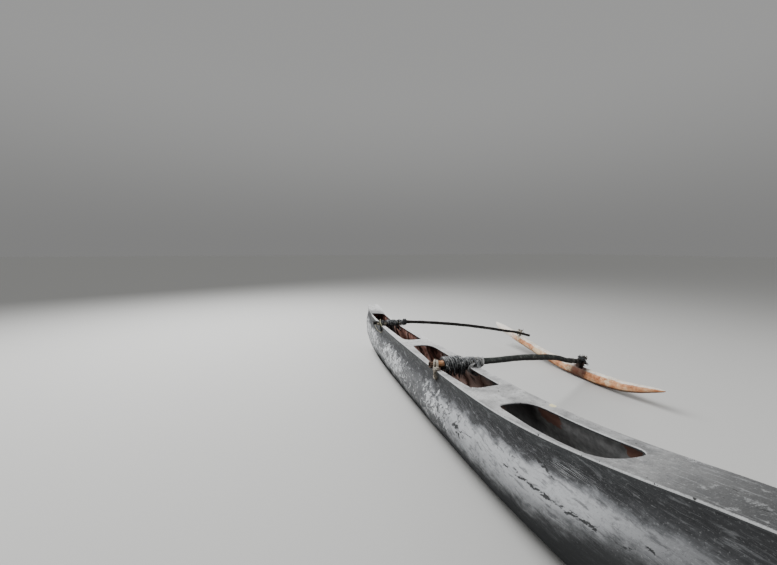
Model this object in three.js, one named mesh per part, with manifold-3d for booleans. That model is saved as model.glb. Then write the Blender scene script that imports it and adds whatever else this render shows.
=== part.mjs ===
// Outrigger canoe: a decked double-ended hull, two lashed booms and a log float.
// Millimetres, +Z up, +Y towards the far end, +X towards the float. The origin lies
// under the middle of the hull, on the flat of the keel that the canoe stands on.
import * as THREE from 'three';
import { mergeVertices } from 'three/addons/utils/BufferGeometryUtils.js';
import Module from 'manifold-3d';

const wasm = await Module();
wasm.setup();

const GAP = 0.3; // air left between two pieces that touch
const WALL = 11; // hull skin
const DECK = 12; // deck thickness
const BEAD = 4.5; // height of the rounded rim along the deck's edge
const BEAD_WIDTH = 16;
const STEM = 40; // length of the solid block at each tip
const HALF_LENGTH = 2750;
const CAVITY = HALF_LENGTH - STEM; // half length of the hollow
const KEEL_INSET = 6; // from the edge of the keel's flat to the keel board's side
const SIDE_SEAMS = [-1200, 1000]; // where a side skin's three lengths meet
const BEYOND = 3200; // farther out than any piece of the hull

// Hull stations: y, half width of the deck, top of the deck, half width and height
// of the belly's widest point, half width and height of the keel's flat.
const HULL = [
  [-2750, 58, 862, 82, 640, 20, 300],
  [-2500, 82, 842, 118, 585, 26, 192],
  [-2200, 108, 800, 158, 500, 34, 92],
  [-1900, 131, 748, 196, 410, 42, 34],
  [-1600, 151, 693, 230, 335, 50, 8],
  [-1350, 168, 640, 254, 290, 56, 0],
  [-1100, 180, 594, 272, 262, 60, 0],
  [-850, 192, 559, 284, 243, 60, 0],
  [-600, 200, 537, 289, 230, 60, 0],
  [-350, 199, 524, 287, 224, 60, 0],
  [-100, 196, 519, 281, 220, 60, 0],
  [150, 191, 516, 272, 220, 60, 0],
  [400, 186, 516, 261, 220, 60, 0],
  [650, 180, 518, 249, 222, 58, 0],
  [900, 173, 520, 236, 226, 56, 0],
  [1150, 165, 522, 222, 230, 52, 0],
  [1400, 156, 526, 207, 238, 48, 0],
  [1650, 145, 531, 190, 248, 44, 0],
  [1900, 132, 538, 172, 262, 40, 4],
  [2150, 121, 548, 150, 284, 34, 18],
  [2400, 112, 575, 136, 326, 28, 48],
  [2600, 96, 623, 115, 374, 22, 88],
  [2750, 73, 668, 96, 420, 18, 128],
];

// Cockpits: the corners of each side from the near end to the far end, as x, y and the
// length over which the corner is rounded.
const COCKPITS = [
  {
    port: [[-149, -1257, 130], [-152, -1010, 40], [-149, -860, 40], [-132, -640, 30], [-126, -497, 55]],
    starboard: [[96, -1298, 90], [102, -1090, 60], [115, -760, 35], [112, -500, 160]],
  },
  {
    port: [[-119, -208, 95], [-134, 60, 40], [-143, 250, 40], [-139, 420, 40], [-90, 958, 20]],
    starboard: [[117, -196, 16], [104, 955, 140]],
  },
  {
    port: [[-94, 1168, 90], [-90, 2475, 25]],
    starboard: [[104, 1166, 14], [82, 2430, 30]],
  },
];
const DECK_PANELS = ['deck_near', 'bridge_near', 'bridge_far', 'deck_far'];
const EDGE_INSET = 1; // from a cockpit's edge to the seam between side deck and panel

const RIB_YS = [140, 440, 790, 1130, 1380, 1640, 2020]; // frames seen in the far cockpits
const RIB_DEPTH = 15;
const RIB_WIDTH = 26;
const RIB_TOP = 18; // below the hull's lip

// Booms: radius at the hull and at the tip and how far it swells between them, the straight
// run across the deck from its port end to past the starboard rim, the bends beyond it, and
// where it meets the float, lifted by the chock under it. The bar beside each boom is shorter
// and lies on one side of it. The collar is wound round the boom outside the starboard rim.
const BOOMS = {
  near: {
    radius: 28,
    tip: 24,
    swell: 5,
    lift: 28,
    across: [[-222, 285.4], [210, 236]],
    bends: [[450, 300, 515], [740, 392, 478], [1040, 474, 430], [1400, 604, 350], [1735, 716, 244]],
    crossing: 782,
    end: [2050, 800],
    barRadius: 17,
    barSide: 1,
    slotShift: 50, // from the boom, towards the near end
    barSpan: [-208, 200],
    cockpit: 1,
    winding: { from: -104, to: 78, halfY: 66, halfZ: 46 },
    collar: { from: 222, to: 264, radius: 37 },
  },
  far: {
    radius: 21,
    tip: 18,
    swell: 1,
    lift: 0,
    across: [[-228, 1943], [175, 1884]],
    bends: [[500, 1868, 538], [1000, 1860, 472], [1465, 1858, 388], [1760, 1861, 326]],
    crossing: 1862,
    end: [2150, 1860],
    barRadius: 14,
    barSide: -1,
    slotShift: 38,
    barSpan: [-186, 146],
    cockpit: 2,
    winding: { from: -66, to: 58, halfY: 50, halfZ: 32 },
    collar: { from: 153, to: 206, radius: 32 },
  },
};
const STRAIGHT_SHARES = [0, 0.25, 0.5, 0.75, 0.95, 1]; // points along a boom's straight run
const SWELL_FROM = 0.22; // of a boom's length, past the starboard rim
const AT_FLOAT = 0.95; // of a boom's length, where it crosses the float
const END_DROP = 0.3; // slope of a boom where it crosses the float
const END_LIFT = 0.6; // for the float's own curve
const RUN_IN = 70; // straight stretch before the float
const RUN_IN_SWAY = 0.7; // share of the last bend's sideways way done where it starts
const COLLAR_END = 0.88; // a collar's radius at its ends, as a share of its middle
const COLLAR_POINTS = 240; // looked at along a boom to find those under its collar
const CORE_GAP = GAP + 0.2; // between a pole and what is wound round it
const BAR_GAP = 1.5; // between boom and bar
const SIDES = [-1, 1];

const ROPE = 4.5; // radius of the lashing rope
const SLOT_HEIGHT = 16; // of the hole for a lashing in the hull's side
const SLOT_WALL = 22; // width of hull and lip above it, which the rope passes under
const SLOT_DROP = 66; // below the deck's top
const PEG = 8; // radius
const PEG_DEEP = 34; // into the float
const PEG_PROUD = 32; // above the boom
const FLOAT_ROPE = [10, 20]; // thickness and height of the rope wound on the pegs
const CHOCK = [74, 44, 14]; // length, width, and how far it reaches down the float's sides

// Free strand from under the far boom's port end to the hull, just below the lashing's slot.
const TAIL_RADIUS = 4;
const TAIL = [
  [-205, 1940, 543], [-202.5, 1937.5, 533], [-200, 1934.5, 523], [-197, 1931, 514],
  [-193.5, 1927.5, 505.5], [-189.5, 1924, 497.5], [-185, 1920, 490], [-180.5, 1915.5, 483],
  [-175.5, 1911, 476.5], [-170, 1906, 470.5], [-164, 1901, 465], [-157.5, 1895.5, 460.5],
  [-151, 1890, 456], [-144, 1884, 452.5], [-136.5, 1878, 449],
];

const FLOAT_X = 1970;
// Float: y, x, height of its centre, half width, half height.
const FLOAT = [
  [-138, 1985, 190, 6, 5],
  [-112, 1984, 184, 16, 14],
  [-35, 1980, 164, 30, 27],
  [83, 1975, 128, 44, 42],
  [209, 1972, 100, 54, 54],
  [346, 1970, 82, 60, 62],
  [500, 1969, 71, 63, 66],
  [690, 1970, 67, 64, 67],
  [880, 1971, 71, 63, 66],
  [1130, 1971, 88, 60, 60],
  [1490, 1969, 138, 57, 55],
  [1810, 1968, 193, 56, 56],
  [2000, 1967, 236, 56, 58],
  [2130, 1966, 262, 54, 57],
  [2250, 1966, 281, 47, 52],
  [2330, 1965, 297, 36, 41],
  [2380, 1965, 320, 19, 20],
  [2404, 1965, 335, 6, 6],
];

function mix(a, b, t) {
  return a + (b - a) * t;
}

// Reads a table of rows that start with y at any y, on a smooth curve through its rows.
function at(table, y) {
  const last = table.length - 1;
  let i = 0;
  while (i < last - 1 && table[i + 1][0] <= y) i += 1;
  const [a, b] = [table[i], table[i + 1]];
  const [before, after] = [table[Math.max(i - 1, 0)], table[Math.min(i + 2, last)]];
  const span = b[0] - a[0];
  const t = THREE.MathUtils.clamp((y - a[0]) / span, 0, 1);
  return a.slice(1).map((value, k) => {
    const c = k + 1;
    const m0 = ((b[c] - before[c]) / Math.max(b[0] - before[0], 1)) * span;
    const m1 = ((after[c] - value) / Math.max(after[0] - a[0], 1)) * span;
    const [t2, t3] = [t * t, t * t * t];
    return (2 * t3 - 3 * t2 + 1) * value + (t3 - 2 * t2 + t) * m0
      + (3 * t2 - 2 * t3) * b[c] + (t3 - t2) * m1;
  });
}

function bezier(p0, p1, p2, p3, steps) {
  const curve = new THREE.CubicBezierCurve(...[p0, p1, p2, p3].map((p) => new THREE.Vector2(...p)));
  return curve.getPoints(steps).map((p) => [p.x, p.y]);
}

// The hull's row at y. The keel never dips below the flat that it stands on.
function hullAt(y) {
  const [deck, top, belly, bellyZ, keel, keelZ] = at(HULL, y);
  return [deck, top, belly, bellyZ, keel, Math.max(keelZ, 0)];
}

// Half of a hull section, from the deck's edge down to the keel, as [x, z] points.
function halfSection(y) {
  const [deck, top, belly, bellyZ, keel, keelZ] = hullAt(y);
  const lip = top - DECK - GAP;
  const neck = [deck - 7, top - 0.13 * (top - keelZ)];
  const rise = neck[1] - bellyZ;
  const fall = bellyZ - keelZ;
  const spread = belly - neck[0];
  const flare = bezier(neck, [neck[0] + 0.12 * spread, neck[1] - 0.3 * rise],
    [belly, bellyZ + 0.52 * rise], [belly, bellyZ], 7);
  const bilge = bezier([belly, bellyZ], [belly, bellyZ - 0.62 * fall],
    [mix(keel, belly, 0.62), keelZ + 0.03 * fall], [keel, keelZ], 7);
  return [[deck - 1, lip], [deck - 5, mix(lip, neck[1], 0.5)], ...flare, ...bilge.slice(1)];
}

// The same half section moved inwards by a distance, its top end slid to a height above the lip.
function innerHalf(y, distance, above) {
  const line = halfSection(y);
  const keelFlat = line[line.length - 1];
  const moved = line.map((p, i) => {
    const a = line[Math.max(i - 1, 0)];
    const b = i === line.length - 1 ? [keelFlat[0] - 30, keelFlat[1]] : line[i + 1];
    const length = Math.hypot(b[0] - a[0], b[1] - a[1]);
    return [Math.max(p[0] + ((b[1] - a[1]) / length) * distance, 2),
      p[1] - ((b[0] - a[0]) / length) * distance];
  });
  const t = -above / (moved[0][1] - moved[1][1]);
  moved[0] = [mix(moved[0][0], moved[1][0], t), mix(moved[0][1], moved[1][1], t)];
  return moved;
}

function mirrored(half) {
  return [...half, ...half.slice().reverse().map(([x, z]) => [-x, z])];
}

// Skins a row of closed rings, each a list of points, and closes both ends with fans.
function loft(rings) {
  const points = rings.flat();
  const count = rings[0].length;
  const faces = [];
  for (let r = 0; r < rings.length - 1; r += 1) {
    for (let i = 0; i < count; i += 1) {
      const [a, b] = [r * count + i, r * count + ((i + 1) % count)];
      faces.push(a, b, a + count, b, b + count, a + count);
    }
  }
  for (const [start, flip] of [[0, true], [(rings.length - 1) * count, false]]) {
    const flat = rings[start / count];
    const centre = flat.reduce((s, p) => [s[0] + p[0], s[1] + p[1], s[2] + p[2]], [0, 0, 0]);
    points.push(centre.map((v) => v / count));
    for (let i = 0; i < count; i += 1) {
      const [a, b] = [start + i, start + ((i + 1) % count)];
      faces.push(points.length - 1, flip ? b : a, flip ? a : b);
    }
  }
  const geometry = new THREE.BufferGeometry();
  geometry.setAttribute('position', new THREE.Float32BufferAttribute(points.flat(), 3));
  geometry.setIndex(faces);
  return geometry;
}

// A geometry as a solid. A shape that comes out inside out is turned.
function solid(geometry) {
  const bare = geometry.index ? geometry.clone() : mergeVertices(geometry.clone(), 1e-3);
  for (const name of ['normal', 'uv']) bare.deleteAttribute(name);
  const merged = mergeVertices(bare, 1e-3);
  const triVerts = new Uint32Array(merged.index.array);
  const vertProperties = new Float32Array(merged.attributes.position.array);
  const kept = [];
  for (let i = 0; i < triVerts.length; i += 3) {
    const [a, b, c] = triVerts.slice(i, i + 3);
    if (a !== b && b !== c && c !== a) kept.push(a, b, c);
  }
  const flipped = signedVolume(vertProperties, kept) < 0;
  const tris = new Uint32Array(kept.length);
  for (let i = 0; i < kept.length; i += 3) {
    tris.set(flipped ? [kept[i], kept[i + 2], kept[i + 1]] : kept.slice(i, i + 3), i);
  }
  return new wasm.Manifold(new wasm.Mesh({ numProp: 3, vertProperties, triVerts: tris }));
}

function signedVolume(xyz, tris) {
  let sum = 0;
  const p = (i) => new THREE.Vector3(xyz[3 * i], xyz[3 * i + 1], xyz[3 * i + 2]);
  for (let i = 0; i < tris.length; i += 3) {
    sum += p(tris[i]).dot(p(tris[i + 1]).cross(p(tris[i + 2])));
  }
  return sum;
}

function geometryOf(body) {
  const mesh = body.getMesh();
  const geometry = new THREE.BufferGeometry();
  geometry.setAttribute('position', new THREE.BufferAttribute(new Float32Array(mesh.vertProperties), 3));
  geometry.setIndex(new THREE.BufferAttribute(new Uint32Array(mesh.triVerts), 1));
  return geometry;
}

// Stations of the hull: evenly spread, closer at the tips, and at each side of a rib.
function stations() {
  const ys = [-HALF_LENGTH, HALF_LENGTH];
  for (const sign of [-1, 1]) {
    for (const y of [2680, 2600, 2500, 2380, 2250, 2100, 1940, 1780]) ys.push(sign * y);
  }
  for (let y = -1600; y <= 1600; y += 200) ys.push(y);
  for (const y of RIB_YS) ys.push(y - RIB_WIDTH / 2, y + RIB_WIDTH / 2);
  ys.sort((a, b) => a - b);
  return ys.filter((y, i) => i === 0 || y - ys[i - 1] > 8 || RIB_YS.some((r) => Math.abs(y - r) < 20));
}

const STATIONS = stations();

function ringAt(y, points) {
  return points.map(([x, z]) => [x, y, z]);
}

// A block across the whole hull between two stations, or across one side of it.
function blockOf([x0, x1], [y0, y1]) {
  const box = new THREE.BoxGeometry(x1 - x0, y1 - y0, 2 * BEYOND);
  return solid(box.translate((x0 + x1) / 2, (y0 + y1) / 2, 0));
}

// The whole trough: the outside, less the inside, less the holes for the lashings.
function makeTrough() {
  const outside = loft(STATIONS.map((y) => ringAt(y, mirrored(halfSection(y)))));
  const inner = [-CAVITY, ...STATIONS.filter((y) => Math.abs(y) < CAVITY - 20), CAVITY];
  const inside = loft(inner.map((y) => ringAt(y, mirrored(innerHalf(y, WALL, 30)))));
  const slots = Object.values(BOOMS).flatMap((boom) => SIDES.map((side) => slotCutter(boom, side)));
  return slots.reduce((hull, slot) => hull.subtract(slot), solid(outside).subtract(solid(inside)));
}

// A long bar round the keel's flat, which parts the keel board from the sides.
function keelCutter(extra) {
  return solid(loft(STATIONS.map((y) => {
    const [, , , , keel, keelZ] = hullAt(y);
    const half = keel - KEEL_INSET + extra;
    const [low, high] = [keelZ - WALL, keelZ + WALL + 1 + extra];
    return ringAt(y, [[half, high], [half, low], [-half, low], [-half, high]]);
  })));
}

// The hull's pieces: a keel board, three lengths of side skin each way and a stem block at
// each tip.
function hullPieces() {
  const trough = makeTrough();
  const across = [-BEYOND, BEYOND];
  const skin = trough.intersect(blockOf(across, [-CAVITY + GAP, CAVITY - GAP]));
  const sides = skin.subtract(keelCutter(GAP));
  const seams = [-BEYOND, ...SIDE_SEAMS, BEYOND];
  const lengths = ['near', 'middle', 'far'].flatMap((length, i) => {
    const reach = [seams[i], seams[i + 1] - GAP];
    return [['port', [-BEYOND, 0]], ['starboard', [0, BEYOND]]]
      .map(([side, half]) => [`hull_${side}_${length}`, sides.intersect(blockOf(half, reach))]);
  });
  return {
    keel_board: skin.intersect(keelCutter(0)),
    ...Object.fromEntries(lengths),
    stem_near: trough.intersect(blockOf(across, [-BEYOND, -CAVITY])),
    stem_far: trough.intersect(blockOf(across, [CAVITY, BEYOND])),
  };
}

// A flat outline in plan, extruded right through the deck.
function plankCutter(shape) {
  const cutter = new THREE.ExtrudeGeometry(shape, { depth: BEYOND, bevelEnabled: false, curveSegments: 6 });
  return solid(cutter);
}

// A cockpit's opening. Each corner is rounded over its own length.
function cockpitCutter({ port, starboard }) {
  const corners = [...port, ...starboard.slice().reverse()];
  const shape = new THREE.Shape();
  corners.forEach(([x, y, length], i) => {
    const corner = new THREE.Vector2(x, y);
    const [from, to] = [i + corners.length - 1, i + 1].map((k) => {
      const other = new THREE.Vector2(...corners[k % corners.length].slice(0, 2));
      return corner.clone().add(other.sub(corner).setLength(length));
    });
    if (i === 0) shape.moveTo(from.x, from.y);
    else shape.lineTo(from.x, from.y);
    shape.quadraticCurveTo(x, y, to.x, to.y);
  });
  shape.closePath();
  return plankCutter(shape);
}

// The middle of the deck in plan: it follows the cockpits' edges a little inside them, and
// takes in the whole deck beyond the first cockpit and the last.
function spineCutter(inset) {
  const lines = ['port', 'starboard'].map((side, k) => COCKPITS.flatMap((row) => row[side])
    .map(([x, y]) => [x + (k === 0 ? inset : -inset), y]));
  const outline = lines.flatMap((line, k) => {
    const out = (k === 0 ? -1 : 1) * BEYOND;
    const [near, far] = [line[0], line[line.length - 1]];
    const run = [[out, -BEYOND], [out, near[1] - inset], [near[0], near[1] - inset], ...line.slice(1, -1),
      [far[0], far[1] + inset], [out, far[1] + inset], [out, BEYOND]];
    return k === 0 ? run : run.reverse();
  });
  return plankCutter(new THREE.Shape(outline.map(([x, y]) => new THREE.Vector2(x, y))));
}

// The deck: a panel before, between and behind the cockpits, and a side deck along each edge.
function deckPieces() {
  const rings = STATIONS.map((y) => {
    const [deck, top] = hullAt(y);
    const half = [[deck - BEAD_WIDTH, 0], [deck - BEAD_WIDTH + 5, BEAD], [deck - 4, BEAD],
      [deck, BEAD - 3], [deck, -DECK]];
    return ringAt(y, mirrored(half.map(([x, z]) => [x, top + z])));
  });
  const plate = COCKPITS.reduce((whole, row) => whole.subtract(cockpitCutter(row)), solid(loft(rings)));
  const middle = plate.intersect(spineCutter(EDGE_INSET + GAP));
  const edges = plate.subtract(spineCutter(EDGE_INSET));
  const across = [-BEYOND, BEYOND];
  const seams = [-BEYOND, ...COCKPITS.map(({ port }) => (port[0][1] + port[port.length - 1][1]) / 2), BEYOND];
  const panels = DECK_PANELS.map((name, i) => [name, middle.intersect(blockOf(across, seams.slice(i, i + 2)))]);
  return {
    ...Object.fromEntries(panels),
    side_deck_port: edges.intersect(blockOf([-BEYOND, 0], across)),
    side_deck_starboard: edges.intersect(blockOf([0, BEYOND], across)),
  };
}

// How far from the centreline a cockpit's edge lies at y.
function edgeAt({ port, starboard }, side, y) {
  const line = side < 0 ? port : starboard;
  const next = line.findIndex((corner) => corner[1] > y);
  const [a, b] = [line[next - 1], line[next]];
  return Math.abs(mix(a[0], b[0], (y - a[1]) / (b[1] - a[1])));
}

// A rib is a strip bent to the inside of the hull, its ends a little below the deck.
function makeRib(y) {
  const rings = [y - RIB_WIDTH / 2, y + RIB_WIDTH / 2].map((edge) => {
    const depths = [WALL + GAP, WALL + GAP + RIB_DEPTH];
    const [outer, inner] = depths.map((d) => innerHalf(edge, d, -RIB_TOP));
    return ringAt(edge, [...outer, ...outer.slice().reverse().map(([x, z]) => [-x, z]),
      ...inner.map(([x, z]) => [-x, z]), ...inner.slice().reverse()]);
  });
  return solid(stripLoft(rings));
}

// Skins two rings of one strip, whose ends are closed quad by quad along the strip.
function stripLoft([front, back]) {
  const count = front.length;
  const points = [...front, ...back];
  const faces = [];
  for (let i = 0; i < count; i += 1) {
    const j = (i + 1) % count;
    faces.push(i, j, i + count, j, j + count, i + count);
  }
  for (let i = 0; i < count / 2 - 1; i += 1) {
    const [a, b, c, d] = [i, i + 1, count - 2 - i, count - 1 - i];
    faces.push(a, c, b, a, d, c);
    faces.push(a + count, b + count, c + count, a + count, c + count, d + count);
  }
  const geometry = new THREE.BufferGeometry();
  geometry.setAttribute('position', new THREE.Float32BufferAttribute(points.flat(), 3));
  geometry.setIndex(faces);
  return geometry;
}

function curveOf(path) {
  return new THREE.CatmullRomCurve3(path.map((p) => new THREE.Vector3(...p)));
}

// A pole along a smooth path, with its radius read at each share of its length.
function pole(path, radiusAt, sides = 12, steps = 30) {
  const curve = curveOf(path);
  const frames = curve.computeFrenetFrames(steps, false);
  const rings = [];
  for (let s = 0; s <= steps; s += 1) {
    const centre = curve.getPointAt(s / steps);
    const r = radiusAt(s / steps);
    const ring = [];
    for (let i = 0; i < sides; i += 1) {
      const angle = (2 * Math.PI * i) / sides;
      const p = centre.clone().addScaledVector(frames.normals[s], r * Math.cos(angle))
        .addScaledVector(frames.binormals[s], r * Math.sin(angle));
      ring.push(p.toArray());
    }
    rings.push(ring);
  }
  return loft(rings);
}

function boomRadius(boom, t) {
  const past = Math.max(t - SWELL_FROM, 0) / (1 - SWELL_FROM);
  return mix(boom.radius, boom.tip, t) + boom.swell * Math.sin(Math.PI * past) ** 2;
}

function boomBody(boom, extra) {
  return solid(pole(boomPath(boom), (t) => boomRadius(boom, t) + extra));
}

function barBody(boom, extra) {
  return solid(pole(barPath(boom), () => boom.barRadius + extra, 10, 4));
}

// Height of a boom's centre where it lies on the deck's two rims.
function seatOnDeck(boom) {
  const tops = boom.across.map(([, y]) => hullAt(y)[1]);
  return Math.max(...tops) + BEAD + boom.radius + GAP;
}

// The float's row at y, worn flat where it lies on the ground.
function floatAt(y) {
  const [x, z, halfWidth, halfHeight] = at(FLOAT, y);
  return [x, Math.max(z, halfHeight), halfWidth, halfHeight];
}

function radiusAtFloat(boom) {
  return boomRadius(boom, AT_FLOAT);
}

function crossingOf(boom) {
  const y = boom.crossing;
  const [, z, , halfHeight] = floatAt(y);
  const reach = halfHeight + radiusAtFloat(boom);
  const top = z + reach * Math.hypot(1, END_DROP) + boom.lift;
  return new THREE.Vector3(FLOAT_X, y, top + GAP + END_LIFT);
}

function boomPath(boom) {
  const z = seatOnDeck(boom);
  const [[x0, y0], [x1, y1]] = boom.across;
  const straight = STRAIGHT_SHARES.map((t) => [mix(x0, x1, t), mix(y0, y1, t), z]);
  const c = crossingOf(boom);
  const lastBend = boom.bends[boom.bends.length - 1];
  const before = [c.x - RUN_IN, mix(lastBend[1], c.y, RUN_IN_SWAY), c.z + RUN_IN * END_DROP];
  const end = [boom.end[0], boom.end[1], c.z - (boom.end[0] - c.x) * END_DROP];
  return [...straight, ...boom.bends, before, c.toArray(), end];
}

// The bar's path, beside the boom at its own seat on the rims.
function barPath(boom) {
  const [[x0, y0], [x1, y1]] = boom.across;
  const side = boom.barSide * (boom.radius + boom.barRadius + BAR_GAP);
  const z = seatOnDeck(boom) - boom.radius + boom.barRadius;
  return boom.barSpan.map((x) => [x, mix(y0, y1, (x - x0) / (x1 - x0)) + side, z]);
}

// Rag and rope wound round boom and bar where they span the cockpit.
function makeWinding(boom) {
  const { from, to, halfY, halfZ } = boom.winding;
  const [[x0, y0], [x1, y1]] = boom.across;
  const z = seatOnDeck(boom) - 3;
  const rings = [];
  const steps = 12;
  for (let s = 0; s <= steps; s += 1) {
    const x = mix(from, to, s / steps);
    const y = mix(y0, y1, (x - x0) / (x1 - x0)) + boom.barSide * (boom.barRadius + 2);
    const swell = s === 0 || s === steps ? 0.8 : 1 + 0.05 * Math.sin(s * 2.6);
    rings.push(Array.from({ length: 16 }, (_, i) => {
      const angle = (2 * Math.PI * i) / 16;
      return [x, y + swell * halfY * Math.cos(angle), z + swell * halfZ * Math.sin(angle)];
    }));
  }
  return solid(loft(rings)).subtract(boomBody(boom, CORE_GAP)).subtract(barBody(boom, CORE_GAP));
}

// A ring of rope or rag wound round a boom, thickest in its middle.
function makeCollar(boom) {
  const { from, to, radius } = boom.collar;
  const points = curveOf(boomPath(boom)).getPoints(COLLAR_POINTS);
  const along = points.filter((p) => p.x > from && p.x < to).map((p) => p.toArray());
  const radiusAt = (t) => radius * mix(COLLAR_END, 1, Math.sin(Math.PI * t));
  return solid(pole(along, radiusAt, 14, 6)).subtract(boomBody(boom, CORE_GAP));
}

// The vertical plane of a lashing: from the slot outside the rim on the near side of the
// boom, across it, to the cockpit's edge on its far side. x counts outwards here.
function lashingPlane(boom, side) {
  const [[x0, y0], [x1, y1]] = boom.across;
  const y = mix(y0, y1, (side * hullAt(y0)[0] - x0) / (x1 - x0));
  const inner = edgeAt(COCKPITS[boom.cockpit], side, y + boom.slotShift);
  const edge = hullAt(y - boom.slotShift)[0];
  const low = new THREE.Vector2(edge, y - boom.slotShift);
  const high = new THREE.Vector2(inner, y + boom.slotShift);
  const along = high.clone().sub(low).normalize();
  return { side, edge, inner, low, along, top: hullAt(y - boom.slotShift)[1] };
}

// Where the plane cuts a pole that crosses the deck, as points of an oval.
function ovalIn(plane, path, radius) {
  const [p, q] = [path[0], path[path.length > 2 ? 4 : 1]];
  const dir = new THREE.Vector2(plane.side * (q[0] - p[0]), q[1] - p[1]).normalize();
  const from = new THREE.Vector2(plane.side * p[0], p[1]).sub(plane.low);
  const sine = plane.along.x * dir.y - plane.along.y * dir.x;
  const u = (from.x * dir.y - from.y * dir.x) / sine;
  return Array.from({ length: 16 }, (_, i) => {
    const angle = (2 * Math.PI * i) / 16;
    return [u + (radius / Math.abs(sine)) * Math.cos(angle), p[2] + radius * Math.sin(angle)];
  });
}

// A taut loop round boom, bar, rim and the hull's side above the slot.
function lashingLoop(boom, side) {
  const plane = lashingPlane(boom, side);
  const { edge, inner, along, low, top } = plane;
  const floor = top - SLOT_DROP;
  const rim = [[edge, top + BEAD], [edge, top - DECK], [edge - 6, floor], [edge - SLOT_WALL, floor],
    [inner - 1, top - DECK], [inner - 1, top + 1]].map(([x, z]) => [(x - edge) / along.x, z]);
  const away = ROPE + 0.8;
  const round = rim.flatMap(([u, z]) => Array.from({ length: 12 }, (_, i) => {
    const angle = (2 * Math.PI * i) / 12;
    return [u + (away / Math.abs(along.x)) * Math.cos(angle), z + away * Math.sin(angle)];
  }));
  const cloud = [...round, ...ovalIn(plane, boomPath(boom), boom.radius + away),
    ...ovalIn(plane, barPath(boom), boom.barRadius + away)];
  return convexHull(cloud).map(([u, z]) => {
    const flat = low.clone().addScaledVector(along, u);
    return new THREE.Vector3(side * flat.x, flat.y, z);
  });
}

function convexHull(cloud) {
  const sorted = cloud.slice().sort((p, q) => p[0] - q[0] || p[1] - q[1]);
  const turn = (o, p, q) => (p[0] - o[0]) * (q[1] - o[1]) - (p[1] - o[1]) * (q[0] - o[0]);
  const chain = (row) => {
    const out = [];
    for (const p of row) {
      while (out.length > 1 && turn(out[out.length - 2], out[out.length - 1], p) < 0.4) out.pop();
      out.push(p);
    }
    return out.slice(0, -1);
  };
  return [...chain(sorted), ...chain(sorted.reverse())];
}

// A closed rope along a flat loop of points.
function ropeLoop(points, radius) {
  const count = points.length;
  const sides = 8;
  const across = points[1].clone().sub(points[0]).cross(points[2].clone().sub(points[1])).normalize();
  const position = [];
  const faces = [];
  points.forEach((point, k) => {
    const tangent = points[(k + 1) % count].clone().sub(points[(k + count - 1) % count]).normalize();
    const normal = tangent.clone().cross(across);
    for (let i = 0; i < sides; i += 1) {
      const angle = (2 * Math.PI * i) / sides;
      const p = point.clone().addScaledVector(normal, radius * Math.cos(angle))
        .addScaledVector(across, radius * Math.sin(angle));
      position.push(...p.toArray());
      const [a, b] = [k * sides + i, k * sides + ((i + 1) % sides)];
      const [c, d] = [((k + 1) % count) * sides + i, ((k + 1) % count) * sides + ((i + 1) % sides)];
      faces.push(a, b, c, b, d, c);
    }
  });
  const geometry = new THREE.BufferGeometry();
  geometry.setAttribute('position', new THREE.Float32BufferAttribute(position, 3));
  geometry.setIndex(faces);
  return geometry;
}

function makeLashing(boom, side) {
  return solid(ropeLoop(lashingLoop(boom, side), ROPE));
}

function slotCutter(boom, side) {
  const { edge, low, along, top } = lashingPlane(boom, side);
  const run = (SLOT_WALL + 6) * Math.abs(along.y / along.x);
  const length = run + 4 * ROPE + 4;
  const box = new THREE.BoxGeometry(60, length, SLOT_HEIGHT);
  const z = top - SLOT_DROP - SLOT_HEIGHT / 2 + 1;
  return solid(box.translate(side * (edge - 12), low.y + run / 2, z));
}

function makePeg(boom, side, extra) {
  const c = crossingOf(boom);
  const reach = radiusAtFloat(boom) + PEG + 1;
  const low = -radiusAtFloat(boom) - boom.lift - PEG_DEEP - extra;
  const high = radiusAtFloat(boom) + PEG_PROUD;
  const shape = new THREE.CylinderGeometry(PEG + extra, PEG + extra, high - low, 12);
  shape.rotateX(Math.PI / 2).translate(0, side * reach, (high + low) / 2);
  return solid(shape.rotateY(Math.atan(END_DROP)).translate(c.x, c.y, c.z));
}

// Rope wound round both pegs, on top of the boom.
function makeFloatLashing(boom) {
  const c = crossingOf(boom);
  const reach = radiusAtFloat(boom) + PEG + 1;
  const ring = (radius) => {
    const path = new THREE.Shape();
    path.absarc(0, reach, radius, 0, Math.PI);
    path.absarc(0, -reach, radius, Math.PI, 2 * Math.PI);
    path.closePath();
    return path;
  };
  const shape = ring(PEG + GAP + FLOAT_ROPE[0]);
  shape.holes.push(ring(PEG + GAP));
  const band = new THREE.ExtrudeGeometry(shape, { depth: FLOAT_ROPE[1], bevelEnabled: false, curveSegments: 8 });
  band.translate(0, 0, radiusAtFloat(boom) + GAP + 0.4);
  return solid(band.rotateY(Math.atan(END_DROP)).translate(c.x, c.y, c.z));
}

// The float's log, with no holes.
function floatBody(extra) {
  const ys = FLOAT.flatMap(([y], i) => (i === 0 ? [y] : [mix(FLOAT[i - 1][0], y, 0.5), y]));
  return solid(loft(ys.map((y) => {
    const [x, z, halfWidth, halfHeight] = floatAt(y);
    return Array.from({ length: 16 }, (_, i) => {
      const angle = (2 * Math.PI * i) / 16;
      return [x + (halfWidth + extra) * Math.cos(angle), y, z + (halfHeight + extra) * Math.sin(angle)];
    });
  })));
}

// A block between float and boom, hollowed to the roundness of both.
function makeChock(boom) {
  const [length, width, down] = CHOCK;
  const c = crossingOf(boom);
  const low = -radiusAtFloat(boom) - boom.lift - down;
  const box = new THREE.BoxGeometry(length, width, -low).translate(0, 0, low / 2);
  return solid(box.rotateY(Math.atan(END_DROP)).translate(c.x, c.y, c.z))
    .subtract(boomBody(boom, CORE_GAP)).subtract(floatBody(GAP));
}

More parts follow.
